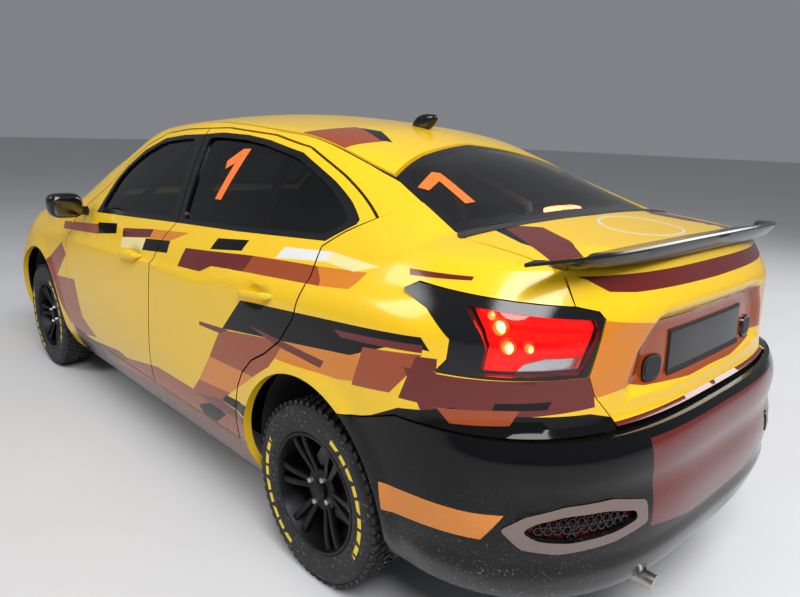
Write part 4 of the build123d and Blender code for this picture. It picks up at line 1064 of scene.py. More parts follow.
class RALLY_OT_sides(bpy.types.Operator):
    """Body sides: rear quarter, sill, rails and the door openings"""
    bl_idname = "rally.sides"
    bl_label = "Body sides"

    def execute(self, context):
        values = body_values()
        gap = values.shut_gap / 2
        door = drawn_in(REAR_DOOR, -gap)
        edge = [tuple(point) for point in door[len(SPLIT_LINE) + len(REAR_DOOR_TOP):]]
        outline = [(.832, .215), (.832, .334)] + edge[::-1] + QUARTER_TOP
        outline += TAIL_LAMP[2::-1] + TAIL_LAMP[:4:-1] + LID_SEAM[5:7] + [(-2.236, .722)]
        outline += [(x, z + gap) for x, z in BUMPER_SEAM[2:0:-1]]
        outline += arch("rear", values.arch_radius, 121, -23) + [(-.950, .215)]
        marks, zones = zones_of(LIVERY)
        skin = wall(side_view, outline, marks=marks, zones=zones, level=relief, depth=.03,
                    spacing=values.spacing, back=LINER)
        for side, part in sided(joined(skin, self.shoulder(), self.rail(), self.ring())):
            place(painted("side_skin_" + side, part), "body", "body_paint", "side_frame_" + side)
        return {"FINISHED"}

    def shoulder(self):
        """The quarter's shoulder from the side's top line to the boot lid's side seam."""
        count = 40
        line = even_points(QUARTER_TOP, count)
        low = side_view(line, relief(line))
        high_line = [(-1.430, .530), (-1.540, .556), (-1.620, .575), (-1.650, .597), (-1.760, .603),
                     (-1.974, .603)]
        return strip(low, top_view(even_points(high_line, count), 0.0), 8, .02)

    def rail(self):
        """Pillar and roof rail between the doors and the windscreen, roof and rear window."""
        count = 90
        low = side_view(even_points([pair[0] for pair in RAIL], count) + (0, .003), 0.0)
        high = top_view(even_points([pair[1] for pair in RAIL], count) + (0, .003), 0.0)
        return strip(low, high, 8, .02)

    def ring(self):
        """The painted frame behind the doors, with the two openings."""
        outline = [(.838, .330)] + FRONT_DOOR_EDGE[1:] + FRONT_DOOR_TOP + REAR_DOOR_TOP + REAR_DOOR_EDGE[:-1]
        outline = drawn_in(outline + [(-.884, .330)], -.004)
        holes = (rounded(FRONT_APERTURE, .06), rounded(REAR_APERTURE, .06))
        return wall(side_view, outline, holes, level=lambda uv: -frame_depth(uv) - .012,
                    depth=.034, spacing=.05, base=BLACK)


def frame_depth(uv):
    """Depth of a door: a full wall below the belt, and a thin frame round the window."""
    return DOOR_DEPTH - FRAME_SAVING * ramp(uv[:, 1], .985, 1.045)


class RALLY_OT_doors(bpy.types.Operator):
    """Doors with their glass, handles and mirrors"""
    bl_idname = "rally.doors"
    bl_label = "Doors"

    def execute(self, context):
        gap = body_values().shut_gap / 2
        doors = (
            ("front", FRONT_DOOR, FRONT_GLASS, FRONT_HINGE_X, FRONT_HANDLE),
            ("rear", REAR_DOOR, REAR_GLASS, REAR_HINGE_X, REAR_HANDLE),
        )
        marks, zones = zones_of(LIVERY)
        for end, outline, glass, hinge_x, handle in doors:
            hole = rounded(glass, .03)
            edge = drawn_in(outline, gap)

            def depth(uv):
                """Thin ahead of the hinge, where the door swings into its pillar."""
                ahead = ramp(uv[:, 0], hinge_x - .02, hinge_x + .01)
                return np.minimum(frame_depth(uv) - .014, .052) * (1 - .8 * ahead)

            def level(uv):
                """The side's pressings, and a cup behind the handle."""
                cup = ((uv[:, 0] - handle[0] - .01) / .062) ** 2 + ((uv[:, 1] - handle[1]) / .026) ** 2
                return relief(uv) - .016 * np.exp(-cup ** 2)

            skin = wall(side_view, edge, (hole,), marks + [DAYLIGHT], zones + [TRIM], depth=depth,
                        level=level, spacing=.016, rim=TRIM, back=LINER)
            pane = wall(side_view, drawn_in(hole, -.012), level=-.010, depth=.004, spacing=.05)
            grip = self.handle(handle)
            for side, *pieces in sided(skin, pane, grip):
                body = f"{end}_door_{side}"
                place(painted(f"door_skin_{end}_{side}", pieces[0]), body, "body_paint", f"door_{end}_{side}")
                place(make_mesh(f"door_pane_{end}_{side}", pieces[1], ("window",)), body, "glass",
                      f"door_glass_{end}_{side}")
                place(make_mesh(f"door_handle_{end}_{side}", pieces[2], ("yellow",), 60), body,
                      "body_paint")
        self.mirrors()
        self.numbers()
        return {"FINISHED"}

    def handle(self, centre):
        """A pull handle: an oval bar that stands off the door, with its ends turned in."""
        share = np.linspace(-1, 1, 21)
        u = centre[0] + .098 * share
        v = centre[1] - .012 * share
        base = side_view(np.stack([u, v], axis=1), 0.0)
        out = .024 * (1 - np.abs(share) ** 6)
        size = np.clip(1.15 - np.abs(share) ** 8, .25, 1)
        section = oval((.008, .0135), 12)
        rings = np.zeros((len(share), len(section), 3))
        rings[..., 0] = base[:, None, 0]
        rings[..., 1] = base[:, None, 1] + out[:, None] - .004 + section[:, 0] * size[:, None]
        rings[..., 2] = base[:, None, 2] + section[:, 1] * size[:, None]
        return loft(rings[:, ::-1])

    def mirrors(self):
        """Mirror heads with a glass in their rear face and a foot on the door."""
        low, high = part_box("mirror_left")
        centre = ((low.x + high.x) / 2, high.y - .082, (high.z * .55 + low.z * .45))
        head = shell(centre, (.052, .080, .062), 3.4, lean=(-.15, .12))
        foot = rod([(.690, .792, .985), (.688, .830, .988), (.684, .866, .996)], (.024, .020, .016), 16)
        pane = shell((centre[0] - .050, centre[1], centre[2]), (.008, .066, .048), 4)
        part = joined(numbered(head, 0), numbered(foot, 0), numbered(pane, 1))
        for side, shape in sided(part):
            piece = make_mesh("mirror_head_" + side, shape, ("trim", "mirror"), 50)
            place(piece, "front_door_" + side, "black_trim", "mirror_" + side)

    def numbers(self):
        """The plain figure on each rear side window."""
        outline = [(-.545, 1.340), (-.590, 1.342), (-.535, 1.150), (-.490, 1.150), (-.530, 1.285),
                   (-.480, 1.262), (-.472, 1.292)]
        part = wall(side_view, outline, level=-.008, depth=.001)
        for side, shape in sided(part):
            place(make_mesh("number_" + side, shape, ("number",)), "rear_door_" + side, "body_paint")


class RALLY_OT_fenders(bpy.types.Operator):
    """Front fenders"""
    bl_idname = "rally.fenders"
    bl_label = "Fenders"

    def execute(self, context):
        values = body_values()
        gap = values.shut_gap / 2
        top = [(.836, .905), (1.020, .935), (1.250, .915), (1.450, .885), (1.700, .835), (1.905, .812)]
        door = drawn_in(FRONT_DOOR, -gap)[1:5]
        outline = [(.838, .215), (.838, .338)] + [tuple(point) for point in door[:3]] + top
        outline += [HEADLAMP[0], HEADLAMP[-1], (1.850, FENDER_SEAM_Z + gap)]
        outline += arch("front", values.front_arch_radius, 57, 202)
        marks, zones = zones_of(LIVERY)
        skin = wall(side_view, outline, marks=marks, zones=zones, level=relief, depth=.024,
                    spacing=values.spacing, back=LINER)
        low_line, high_line = even_points(top, 40), even_points([(1.030, .704)] + BONNET_SEAM[1:3], 40)
        low = side_view(low_line, relief(low_line))
        part = joined(skin, strip(low, top_view(high_line + (0, .003), 0.0), 8, .02))
        for side, shape in sided(part):
            place(painted("fender_skin_" + side, shape), "body", "body_paint", "fender_front_" + side)
        return {"FINISHED"}


class RALLY_OT_bonnet(bpy.types.Operator):
    """Bonnet with two raised lines"""
    bl_idname = "rally.bonnet"
    bl_label = "Bonnet"

    def execute(self, context):
        outline = drawn_in([(1.035, 0)] + BONNET_SEAM, .003)
        outline[[0, -1], 1] = 0

        def level(uv):
            """A raised middle whose sides draw together, and which fades out at both ends."""
            ridge = np.abs(uv[:, 1]) - (.36 - .10 * (uv[:, 0] - 1.03))
            raised = .008 * (1 - ramp(ridge, -.012, .030)) * ramp(uv[:, 0], 1.03, 1.25)
            return raised * (1 - ramp(uv[:, 0], 1.75, 2.05))

        skin = wall(top_view, outline, level=level, depth=.022, spacing=.02, back=BLACK)
        place(painted("bonnet_skin", symmetric(skin)), "bonnet", "body_paint", "bonnet")
        return {"FINISHED"}


class RALLY_OT_front_bumper(bpy.types.Operator):
    """Front bumper with its grille, intake, fog lamps and headlamps"""
    bl_idname = "rally.front_bumper"
    bl_label = "Front bumper"

    def execute(self, context):
        values = body_values()
        seam = FENDER_SEAM_Z - values.shut_gap / 2
        outline = [(1.680, .212), (2.000, .206), (2.400, .200), (NOSE_MIDDLE, .200), (NOSE_MIDDLE, .765),
                   (2.336, .766), (2.316, .664), (1.950, .650), (1.860, seam)]
        outline += arch("front", values.front_arch_radius, 56.5, -22.5)
        ring = [(FOG_LAMP[0] + x, FOG_LAMP[1] + z) for x, z in oval(FOG_LAMP[2:], 24, 2.6)]
        holes = (GRILLE, LOWER_INTAKE, ring)
        skin = wall(side_view, outline, holes, level=relief, depth=.026, spacing=values.spacing, back=LINER)
        low_line = even_points(HEADLAMP[1:4] + [(2.400, .765), (NOSE_MIDDLE, .765)], 50)
        high_line = even_points([(1.905, .640)] + BONNET_SEAM[3:], 50)
        brow = strip(side_view(low_line, 0.0), top_view(high_line + (.003, 0), 0.0), 6, .02)
        place(painted("front_bumper_skin", symmetric(joined(skin, brow))), "body", "body_paint",
              "front_bumper")
        self.mesh(holes)
        self.headlamps()
        return {"FINISHED"}

    def mesh(self, holes):
        """Dark backs behind the openings and bars across them."""
        parts = [wall(side_view, drawn_in(hole, -.03) if len(hole) > 8 else hole,
                      level=-.05, depth=.01, spacing=.05) for hole in holes]
        for low, high, start in ((.640, .752, 2.342), (.296, .414, 2.290)):
            for z in np.arange(low + .012, high - .008, .026):
                bar = [(start, z), (NOSE_MIDDLE, z), (NOSE_MIDDLE, z + .009), (start, z + .009)]
                parts.append(wall(side_view, bar, level=-.014, depth=.016, spacing=.05))
        lamp = [(FOG_LAMP[0] + x, FOG_LAMP[1] + z) for x, z in oval((.040, .040), 20)]
        glass = numbered(wall(side_view, lamp, level=-.020, depth=.02), 1)
        piece = make_mesh("front_grille", symmetric(joined(*parts, glass)), ("plastic", "lens"))
        place(piece, "body", "black_plastic")

    def headlamps(self):
        """Clear covers over dark housings with two projectors each."""
        outline = rounded(drawn_in(HEADLAMP, .003), .012)
        cover = wall(side_view, outline, level=-.001, depth=.004)
        bowl = wall(side_view, outline, level=-.060, depth=.006)
        rim = wall(side_view, outline, (drawn_in(outline, .012),), level=-.006, depth=.055, spacing=.05)
        parts = [numbered(cover, 0), numbered(bowl, 1), numbered(rim, 1)]
        for x, z in ((2.020, .722), (2.160, .715)):
            for number, size, level, depth in ((2, .036, -.030, .026), (0, .029, -.014, .018)):
                disc = [(x + a, z + b) for a, b in oval((size, size), 24)]
                parts.append(numbered(wall(side_view, disc, level=level, depth=depth, spacing=.02), number))
        place(make_mesh("headlamp_units", symmetric(joined(*parts)), ("lens", "plastic", "reflector")),
              "body", "lamp_clear", "headlamps")


class RALLY_OT_rear_bumper(bpy.types.Operator):
    """Rear bumper with its reflectors and lower lip"""
    bl_idname = "rally.rear_bumper"
    bl_label = "Rear bumper"

    def execute(self, context):
        values = body_values()
        gap = values.shut_gap / 2
        lower = arch("rear", values.arch_radius, 195, 121.5, 24)
        outline = lower + [(x, z - gap) for x, z in BUMPER_SEAM[1:3]]
        outline += [(-2.236, .713), (TAIL_MIDDLE, .713), (TAIL_MIDDLE, .262), (-2.150, .262)]
        reflector = rounded(REFLECTOR, .022)
        frame_line = rounded(REFLECTOR_FRAME, .014)
        marks, zones = zones_of(BUMPER_BLOCKS)

        def level(uv):
            """The bumper stands out below its ledge, draws in round the reflectors and is out at the lip."""
            u, v = uv[:, 0], uv[:, 1]
            ledge = .010 * (1 - ramp(v, .66, .715)) * (1 - ramp(u, -1.95, -1.70))
            waist = -.018 * np.exp(-((v - .560) / .050) ** 2) * (1 - ramp(u, -2.05, -1.85))
            lip = .012 * (1 - ramp(v, .355, .395)) * (1 - ramp(u, -1.80, -1.66))
            return relief(uv) + ledge + waist + lip

        skin = wall(side_view, outline, (reflector,), marks, zones, level=level, depth=.022,
                    spacing=.018, base=BLACK, back=LINER)
        place(painted("rear_bumper_skin", symmetric(skin)), "body", "black_plastic", "rear_bumper")
        # Painted shade: the pale frame's inner walls and back take the black trim finish (number 2), so the
        # recess round each reflector stays dark where its lit pale wall would show
        pale = wall(side_view, frame_line, (reflector,), level=lambda uv: level(uv) + .004, depth=.016,
                    spacing=.02, rim=2, back=2)
        back = wall(side_view, drawn_in(reflector, -.010), level=lambda uv: level(uv) - .022, depth=.006)
        place(make_mesh("bumper_frames", symmetric(joined(pale, numbered(back, 1), self.cells(level))),
                        ("pale", "lamp_dim", "trim")), "body", "black_plastic")
        return {"FINISHED"}

    def cells(self, level):
        """Honeycomb bars in front of the reflectors."""
        parts = []
        loop = np.array(drawn_in(REFLECTOR, .010))
        rows, columns = np.arange(6)[:, None], np.arange(15)[None, :]
        u = -2.015 - .0225 * (columns + .5 * (rows % 2))
        v = .468 + .0185 * rows + 0 * columns
        centres = np.stack([u.ravel(), v.ravel()], axis=1)
        for centre in centres[inside(centres, loop)]:
            hexagon = centre + oval((.0118, .0118), 6)
            parts.append(wall(side_view, hexagon, (drawn_in(hexagon, .0028),),
                              level=lambda uv: level(uv) - .008, depth=.010, spacing=.05))
        return numbered(joined(*parts), 2)


class RALLY_OT_tail_lamps(bpy.types.Operator):
    """Tail lamps: a smoked front, a lit red lens, a clear reversing piece and the lights behind them"""
    bl_idname = "rally.tail_lamps"
    bl_label = "Tail lamps"

    def execute(self, context):
        outline = drawn_in(TAIL_LAMP, .0025)
        cover = numbered(wall(side_view, outline, (LAMP_RED,), level=.001, depth=.022, spacing=.02), 0)
        lens = wall(side_view, drawn_in(LAMP_RED, .0005), (), (LAMP_CLEAR,), (3,), level=-.001,
                    depth=.004, spacing=.02, base=1)
        back = numbered(wall(side_view, drawn_in(LAMP_RED, .002), level=-.040, depth=.010), 4)
        steps = [numbered(wall(side_view, drawn_in(band, .002), level=-.020 - .006 * index, depth=.010), 2)
                 for index, band in enumerate(LAMP_BANDS)]
        clear = numbered(wall(side_view, drawn_in(LAMP_CLEAR, .004), level=-.022, depth=.010), 5)
        bulbs = [numbered(shell(side_view(np.array([at]), -.012)[0], (size, size * .6, size), 2.0, 12, 16), 6)
                 for at, size in LAMP_BULBS]
        bulbs += [numbered(shell(side_view(np.array([at]), -.022)[0], (size * 1.5, size * .7, size * 1.3),
                                 2.0, 12, 16), 7) for at, size in LAMP_BULBS]
        part = symmetric(joined(cover, lens, back, *steps, clear, *bulbs))
        keys = ("trim", "red_lens", "lamp_lit", "lens", "lamp_glow", "reflector", "lamp_core", "lamp_warm")
        place(make_mesh("tail_lamp_units", part, keys), "body", "lamp_red", "tail_lamps")
        return {"FINISHED"}


class RALLY_OT_boot(bpy.types.Operator):
    """Boot lid with its spoiler, plate recess and lamps"""
    bl_idname = "rally.boot"
    bl_label = "Boot"

    def execute(self, context):
        gap = body_values().shut_gap / 2
        seam = [(u - gap, v) for u, v in LID_SEAM[1:-1]]
        outline = [(TAIL_MIDDLE, 1.095), (-2.080, 1.095)] + seam + [(-2.245, .726), (TAIL_MIDDLE, .726)]
        marks, zones = zones_of(BOOT_BLOCKS)

        def level(uv):
            """A recess with slanted sides for the plate, and a fall from the crease above it."""
            u, v = uv[:, 0], uv[:, 1]
            within = np.interp(v, RECESS_Z, RECESS_EDGE) - u
            sunk = ramp(within, -.002, .050) * ramp(v, .776, .812) * (1 - ramp(v, .950, 1.000))
            crease = .007 * (ramp(v, .940, .985) - ramp(v, .985, 1.060)) * (1 - ramp(u, -2.26, -2.18))
            return crease - RECESS_DEPTH * sunk

        face = wall(side_view, outline, marks=marks, zones=zones, level=level, depth=.022, spacing=.014,
                    back=BLACK)
        deck_line = [(-1.974, .596), (-2.020, .420), (-2.040, .220), (-2.046, 0)]
        deck_outline = [(u - gap, v) for u, v in LID_FRONT] + deck_line
        deck_marks, deck_zones = zones_of(DECK_BLOCKS)
        deck = wall(top_view, deck_outline, marks=deck_marks, zones=deck_zones, depth=.016, spacing=.02,
                    back=BLACK)
        count = 40
        top = np.stack([np.linspace(-2.080, TAIL_MIDDLE, count), np.full(count, 1.095)], axis=1)
        edge = strip(side_view(top, 0.0), top_view(even_points(deck_line, count), 0.0), 6, .018)
        whole = joined(symmetric(joined(face, edge, deck)), self.ring(level=.0006))
        place(painted("boot_skin", whole), "boot_lid", "body_paint", "boot_lid")
        self.spoiler()
        self.plate(level)
        return {"FINISHED"}

    def ring(self, level):
        """The pale ring on the lid."""
        x, y, outer, inner = RING
        loops = [[(x + a, y + b) for a, b in oval((size, size * 1.32), 48)] for size in (outer, inner)]
        return wall(top_view, loops[0], (loops[1],), level=level, depth=.0005, base=WHITE)

    def spoiler(self):
        """A lip that stands on the lid's rear edge, and runs out to thin points over the quarters."""
        y = SPOILER_REACH * np.linspace(-1, 1, 81)
        share = np.abs(y) / SPOILER_REACH
        front = -1.985 + .025 * share ** 2
        deck = top_view(np.stack([front, y * .8], axis=1), .001)[:, 2]
        free = ramp(share, .84, .95)
        rear = -1.985 - .123 * (1 - share ** 4.5)
        high = 1.144 + .029 * (1 - share ** 3.5)
        thin = .006 + .008 * (1 - share)
        front_z = deck * (1 - free) + (high - .003) * free
        low_x = rear + .022 * (1 - free) + .010 * free
        low_z = 1.126 * (1 - free) + (high - thin - .002) * free
        middle_z = (front_z + high) / 2 - .004 * (1 - share)
        hollow = (low_x - .010 * (1 - free), (low_z + high - thin) / 2 - .004 * (1 - free))
        corners = ((front, front_z), ((front + rear) / 2, middle_z), (rear + .006, high), (rear, high - .004),
                   (rear, high - thin), hollow, (low_x, low_z),
                   (front * .5 + low_x * .5, np.minimum(low_z, front_z - .008)), (front, front_z - .008))
        rings = np.stack([np.stack([x, y, z], axis=1) for x, z in corners], axis=1)
        piece = make_mesh("spoiler_blade", loft(rings), ("trim",), 30)
        place(piece, "boot_lid", "black_trim", "boot_spoiler")

    def plate(self, level):
        """Blank dark plate in a frame, and an oval lamp on either side of it."""
        low, high = PLATE_Z
        u, v, wide, tall = OVAL

        def board(edge):
            """The plate's outline with an edge round it."""
            start, foot, top = PLATE_END + edge, low - edge, high + edge
            return [(TAIL_MIDDLE, foot), (start, foot), (start, top), (TAIL_MIDDLE, top)]

        eye = [(u + a, v + b) for a, b in oval((wide, tall), 24, 3.4)]
        parts = [numbered(wall(side_view, outline, level=lambda uv: level(uv) + out, depth=deep), number)
                 for outline, out, deep, number in (
                     (board(.007), .006, .006, 0), (board(0), .008, .004, 1), (eye, .012, .016, 1),
                     (drawn_in(eye, .008), .014, .004, 0))]
        piece = make_mesh("plate_blank", symmetric(joined(*parts)), ("plastic", "trim"))
        place(piece, "boot_lid", "black_trim")


class RALLY_OT_roof(bpy.types.Operator):
    """Roof with its ditches and fin, windscreen and rear window"""
    bl_idname = "rally.roof"
    bl_label = "Roof and screens"

    def execute(self, context):
        outline = drawn_in(ROOF_EDGE, .009)
        outline[[0, -1], 1] = 0
        marks, zones = zones_of(ROOF_BLOCKS)
        roof = wall(top_view, outline, marks=marks, zones=zones, depth=.024, back=LINER)
        other = wall(top_view, outline, depth=.024, back=LINER)
        count = 60
        high = even_points([pair[1] for pair in RAIL[5:12]], count)
        ditch = strip(top_view(high + (0, .006), -.006), top_view(high - (0, .016), -.006), 4, .006, TRIM,
                      -.006)
        part = joined(roof, mirrored(other), symmetric(ditch))
        place(painted("roof_skin", part), "body", "body_paint", "roof")
        fin = shell((-.900, 0, 1.462), (.060, .017, .032), 2.6, lean=(-.7, 0))
        place(make_mesh("roof_fin", fin, ("trim",), 60), "body", "black_trim")
        self.screens()
        return {"FINISHED"}

    def screens(self):
        """Bonded glass with black borders."""
        for name, node, outline, border in (("windscreen_glass", "windscreen", WINDSCREEN, .045),
                                            ("rear_glass", "rear_window", REAR_WINDOW, .032)):
            edge = drawn_in(outline, .004)
            pane = drawn_in(outline, border)
            for line in (edge, pane):
                line[[0, -1], 1] = 0
            pane[0, 0] += border * .6 * np.sign(pane[-1, 0] - pane[0, 0])
            pane[-1, 0] -= border * .6 * np.sign(pane[-1, 0] - pane[0, 0])
            part = wall(top_view, edge, (), (rounded_but_ends(pane, .05),), (1,), level=-.003, depth=.005)
            place(make_mesh(name, symmetric(part), ("trim", "screen")), "body", "glass", node)
        figure = [(-1.352, .478), (-1.308, .372), (-1.328, .352), (-1.498, .372), (-1.494, .412),
                  (-1.362, .392), (-1.386, .462)]
        piece = make_mesh("number_rear", wall(top_view, figure, level=-.0015, depth=.001), ("number",))
        place(piece, "body", "body_paint")
        lamp = shell((-1.578, 0, 1.174), (.018, .105, .018), 3.5, lean=(.6, 0))
        place(make_mesh("high_lamp", lamp, ("lamp_high",), 50), "body", "lamp_red")


def rounded_but_ends(points, radius):
    """An open half outline, from the middle of the car and back to it, with its inner corners rounded."""
    loop = rounded(points, radius, 6).reshape(len(points), 6, 2)
    return np.vstack([points[:1], loop[1:-1].reshape(-1, 2), points[-1:]])


class RALLY_OT_wheels(bpy.types.Operator):
    """Studded tyres, black rims with paired spokes, nuts and discs"""
    bl_idname = "rally.wheels"
    bl_label = "Wheels"

    def execute(self, context):
        values = context.scene.rally_wheels
        looks = (
            ("tyre_tread", self.tyre(values), ("rubber", "marking"), "tyre", "tyre"),
            ("studs", self.studs(values), ("steel",), "tyre", ""),
            ("rim_spokes", self.rim(values), ("rim", "steel"), "rim", "rim"),
            ("brake_disc", self.disc(), ("steel", "cast"), "rim", ""),
        )
        for end in ("front", "rear"):
            for side, sign in SIDES:
                centre = hub(end)
                centre.y *= sign
                for name, part, finishes, slot, node in looks:
                    shape = moved(part if sign > 0 else mirrored(part), tuple(centre))
                    piece = make_mesh(f"{name}_{end}_{side}", shape, finishes, 40, 0)
                    nodes = (f"{node}_{end}_{side}",) if node else ()
                    place(piece, f"{end}_wheel_{side}", slot, *nodes)
        return {"FINISHED"}

    def rows(self, values):
        """Turns and distances across of the tread's blocks, with each row half a pitch from its neighbour."""
        pitch = 2 * pi / values.lugs
        turn = np.arange(values.lugs)[:, None] * pitch + (np.arange(len(TREAD_ROWS)) % 2) * pitch / 2
        return turn.ravel(), np.broadcast_to(TREAD_ROWS, turn.shape).ravel(), pitch

    def tyre(self, values):
        """A carcass turned from its profile, with tread blocks and pale dashes on the outer sidewall."""
        outer = TYRE_OUTER + [(r, -y) for r, y in TYRE_OUTER[-2::-1]]
        profile = outer + [(r, -y) for r, y in TYRE_INNER[::-1]] + TYRE_INNER
        count = 144
        points, faces, zones = turned(profile, count)
        middle = points[faces].mean(1)
        radius = np.hypot(middle[:, 0], middle[:, 2])
        turn = np.degrees(np.arctan2(middle[:, 2], -middle[:, 0]))
        behind, ahead = np.abs(turn - 20) < 46, np.abs(np.mod(turn, 360) - 200) < 46
        dash = (np.mod(turn, 11.25) < 8.0) & (behind | ahead)
        zones = np.where((middle[:, 1] > .09) & (radius > .2362) & (radius < .2518) & dash, 1, 0)
        angle, across, pitch = self.rows(values)
        shoulder = np.abs(across) > .06
        half_turn = np.where(shoulder, .30, .34) * pitch * .30
        blocks = rubber_blocks(angle, across, half_turn, np.where(shoulder, .0125, .0118), *TREAD_RADII,
                               np.where(across > 0, .45, -.45))
        return joined((points, faces, zones), blocks)

    def studs(self, values):
        """Steel studs on every third tread block."""
        angle, across, _ = self.rows(values)
        keep = np.arange(len(angle)) % 3 == 0
        angle, across = angle[keep], across[keep] + .004 * np.sin(angle[keep] * 17)
        hexagon = oval((values.stud, values.stud), 6)
        points = []
        for radius, size in STUD_RINGS:
            turn = angle[:, None] + hexagon[:, 0] * size / radius
            points.append(np.stack([radius * np.cos(turn), across[:, None] + hexagon[:, 1] * size,
                                    radius * np.sin(turn)], axis=-1))
        points.append(points[1].mean(1, keepdims=True))
        cloud = np.concatenate(points, axis=1)
        around = [(k, (k + 1) % 6) for k in range(6)]
        faces = [(a, b, 6 + b) for a, b in around] + [(a, 6 + b, 6 + a) for a, b in around]
        faces += [(6 + a, 6 + b, 12) for a, b in around]
        faces = np.array(faces)[:, ::-1][None] + 13 * np.arange(len(angle))[:, None, None]
        return cloud.reshape(-1, 3), faces.reshape(-1, 3), np.zeros(len(angle) * 18, int)

    def rim(self, values):
        """A barrel, paired spokes that bow outwards, a hub with four nuts and a cap."""
        parts = [numbered(turned(BARREL, 96), 0)]
        reach = np.linspace(*SPOKE_REACH, 12)
        bow = .052 + .026 * np.sin((reach - .04) / .146 * pi / 2) ** 1.5
        for index in range(values.spokes):
            for lean in (-1, 1):
                turn = 2 * pi * index / values.spokes + lean * (.145 + .02 * np.linspace(1, 0, 12))
                wide = np.linspace(.0085, .0125, 12)
                section = oval((1, 1), 10, 4)
                rings = np.zeros((12, 10, 3))
                out_x, out_z = np.cos(turn), np.sin(turn)
                side = section[:, 0] * wide[:, None]
                rings[..., 0] = reach[:, None] * out_x[:, None] - side * out_z[:, None]
                rings[..., 2] = reach[:, None] * out_z[:, None] + side * out_x[:, None]
                rings[..., 1] = bow[:, None] - .012 + section[:, 1] * .011
                parts.append(numbered(loft(rings), 0))
        hubs = [(.070, .020, .052, 0, (0, 0)), (.031, .045, .066, 0, (0, 0))]
        nuts = [(.0100, .045, .067, 1, (NUT_CIRCLE * cos(a), NUT_CIRCLE * sin(a)))
                for a in np.arange(4) * pi / 2 + .4]
        for radius, low, high, number, at in hubs + nuts:
            sides = 6 if number else 32
            ring = oval((radius, radius), sides)
            rings = np.stack([np.stack([at[0] + ring[:, 0] * size, np.full(sides, y),
                                        at[1] + ring[:, 1] * size], 1)
                              for y, size in ((low, 1.0), (high - .003, 1.0), (high, .86))])
            parts.append(numbered(loft(rings), number))
        return joined(*parts)

    def disc(self):
        """A vented brake disc with its bell."""
        return joined(numbered(turned(BRAKE_DISC, 72), 0), numbered(turned(DISC_BELL, 48), 1))


class RALLY_OT_cabin(bpy.types.Operator):
    """Seat cushions and shoulder straps"""
    bl_idname = "rally.cabin"
    bl_label = "Cabin"

    def execute(self, context):
        for side, sign in SIDES:
            y = SEAT_Y * sign
            pads = [shell((x, y, z), size, power, lean=(lean, 0)) for (x, z), size, power, lean in SEAT_PADS]
            piece = make_mesh("seat_pads_" + side, joined(*pads), ("cloth",), 60)
            place(piece, "body", "seat_fabric")
            straps = joined(*[self.strap(y + offset) for offset in (-.065, .065)])
            place(make_mesh("seat_straps_" + side, straps, ("belt",), 60), "body", "seat_fabric")
        return {"FINISHED"}

    def strap(self, y, half_width=.024, half_thickness=.002):
        """A flat strap from behind the head pad, over the shoulder and down the back pad's face."""
        at = np.linspace(0, len(STRAP_PATH) - 1, 31)
        x, z = (np.interp(at, np.arange(len(STRAP_PATH)), STRAP_PATH[:, axis]) for axis in (0, 1))
        along_x, along_z = np.gradient(x), np.gradient(z)
        size = np.hypot(along_x, along_z)
        section = oval((half_thickness, half_width), 12, 4)
        rings = np.zeros((len(x), len(section), 3))
        rings[..., 0] = x[:, None] + section[:, 0] * (along_z / size)[:, None]
        rings[..., 1] = y + section[:, 1]
        rings[..., 2] = z[:, None] - section[:, 0] * (along_x / size)[:, None]
        return loft(rings)


class RALLY_OT_chassis(bpy.types.Operator):
    """Finishes of the frame's own parts that stay in view"""
    bl_idname = "rally.chassis"
    bl_label = "Chassis"

    def execute(self, context):
        finishes = {"floor_pan": "chassis", "bulkheads": "chassis", "front_subframe": "chassis",
                    "rear_axle": "chassis", "engine_block": "cast", "exhaust": "steel", "sump_guard": "alloy",
                    "dashboard": "plastic", "bucket_seats": "cloth", "roll_cage": "cage",
                    "steering_wheel": "plastic", "front_knuckle_left": "cast", "front_knuckle_right": "cast"}
        for node, key in finishes.items():
            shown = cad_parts[node]
            shown.data.materials.clear()
            shown.data.materials.append(finish(key))
        return {"FINISHED"}


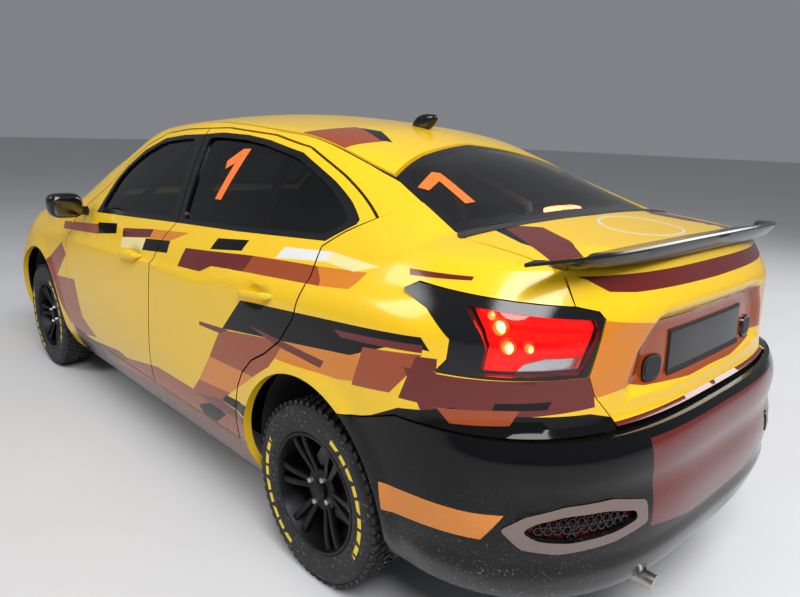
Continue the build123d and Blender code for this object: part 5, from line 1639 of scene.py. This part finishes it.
class RALLY_OT_stage(bpy.types.Operator):
    """Pale floor, soft light and the photograph's camera"""
    bl_idname = "rally.stage"
    bl_label = "Stage"

    def execute(self, context):
        scene = context.scene
        mesh = bpy.data.meshes.new("studio_floor")
        corners = [(x * FLOOR_REACH, y * FLOOR_REACH, 0) for x, y in ((-1, -1), (1, -1), (1, 1), (-1, 1))]
        mesh.from_pydata(corners, [], [(0, 1, 2, 3)])
        floor = bpy.data.objects.new("studio_floor", mesh)
        scene.collection.objects.link(floor)
        graph = Graph("floor_pale", (.62, .62, .63), Roughness=.6)
        graph.colour(graph.mix(graph.spread(graph.noise(.7, 5), .3, .7), (.60, .60, .61), (.64, .64, .65)))
        mesh.materials.append(graph.material)
        for name, place_at, size, energy in LIGHTS:
            light = bpy.data.lights.new(name, "AREA")
            light.shape, light.size, light.energy = "DISK", size, energy
            lamp = bpy.data.objects.new(name, light)
            lamp.location = place_at
            lamp.rotation_euler = (Vector((0, 0, .5)) - Vector(place_at)).to_track_quat("-Z", "Y").to_euler()
            scene.collection.objects.link(lamp)
        world = bpy.data.worlds.new("studio")
        world.use_nodes = True
        sky = world.node_tree.nodes["Background"].inputs
        sky["Color"].default_value, sky["Strength"].default_value = (.72, .75, .80, 1), .30
        scene.world = world
        self.camera(scene)
        return {"FINISHED"}

    def camera(self, scene):
        """The camera solved from the photograph: place, view direction, roll and lens."""
        ahead = Vector(CAMERA_AHEAD).normalized()
        level = ahead.cross(Vector((0, 0, 1))).normalized()
        upright = level.cross(ahead)
        roll = radians(CAMERA_ROLL)
        right = level * cos(roll) + upright * sin(roll)
        up = upright * cos(roll) - level * sin(roll)
        data = bpy.data.cameras.new("camera")
        data.lens, data.sensor_width, data.sensor_fit = CAMERA_LENS, CAMERA_SENSOR, "HORIZONTAL"
        camera = bpy.data.objects.new("camera", data)
        turn = Matrix((right, up, -ahead)).transposed().to_4x4()
        camera.matrix_world = Matrix.Translation(CAMERA_PLACE) @ turn
        scene.collection.objects.link(camera)
        scene.camera = camera
        scene.render.resolution_x, scene.render.resolution_y = PICTURE_SIZE
        scene.view_settings.view_transform = "Standard"


OPERATORS = (RALLY_OT_sides, RALLY_OT_doors, RALLY_OT_fenders, RALLY_OT_bonnet, RALLY_OT_front_bumper,
             RALLY_OT_rear_bumper, RALLY_OT_tail_lamps, RALLY_OT_boot, RALLY_OT_roof, RALLY_OT_wheels,
             RALLY_OT_cabin, RALLY_OT_chassis, RALLY_OT_stage)
GROUPS = (("rally_paint", RallyPaint), ("rally_body", RallyBody), ("rally_wheels", RallyWheels))


class RALLY_PT_panel(bpy.types.Panel):
    """The saloon's values and its pieces"""
    bl_idname = "RALLY_PT_panel"
    bl_label = "Rally Saloon"
    bl_space_type = "VIEW_3D"
    bl_region_type = "UI"
    bl_category = "Rally Saloon"

    def draw(self, context):
        for name, group in GROUPS:
            values = getattr(context.scene, name)
            for key in group.__annotations__:
                self.layout.prop(values, key)
        for operator in OPERATORS:
            self.layout.operator(operator.bl_idname)


def register():
    """Adds the values, the operators and the panel to Blender."""
    for name, group in GROUPS:
        bpy.utils.register_class(group)
        setattr(bpy.types.Scene, name, PointerProperty(type=group))
    for operator in OPERATORS:
        bpy.utils.register_class(operator)
    bpy.utils.register_class(RALLY_PT_panel)


def unregister():
    """Takes them away again."""
    bpy.utils.unregister_class(RALLY_PT_panel)
    for operator in reversed(OPERATORS):
        bpy.utils.unregister_class(operator)
    for name, group in reversed(GROUPS):
        delattr(bpy.types.Scene, name)
        bpy.utils.unregister_class(group)


def main():
    """Builds the whole saloon."""
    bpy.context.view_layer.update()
    register()
    for operator in OPERATORS:
        group, name = operator.bl_idname.split(".")
        getattr(getattr(bpy.ops, group), name)()


if __name__ == "__main__":
    main()
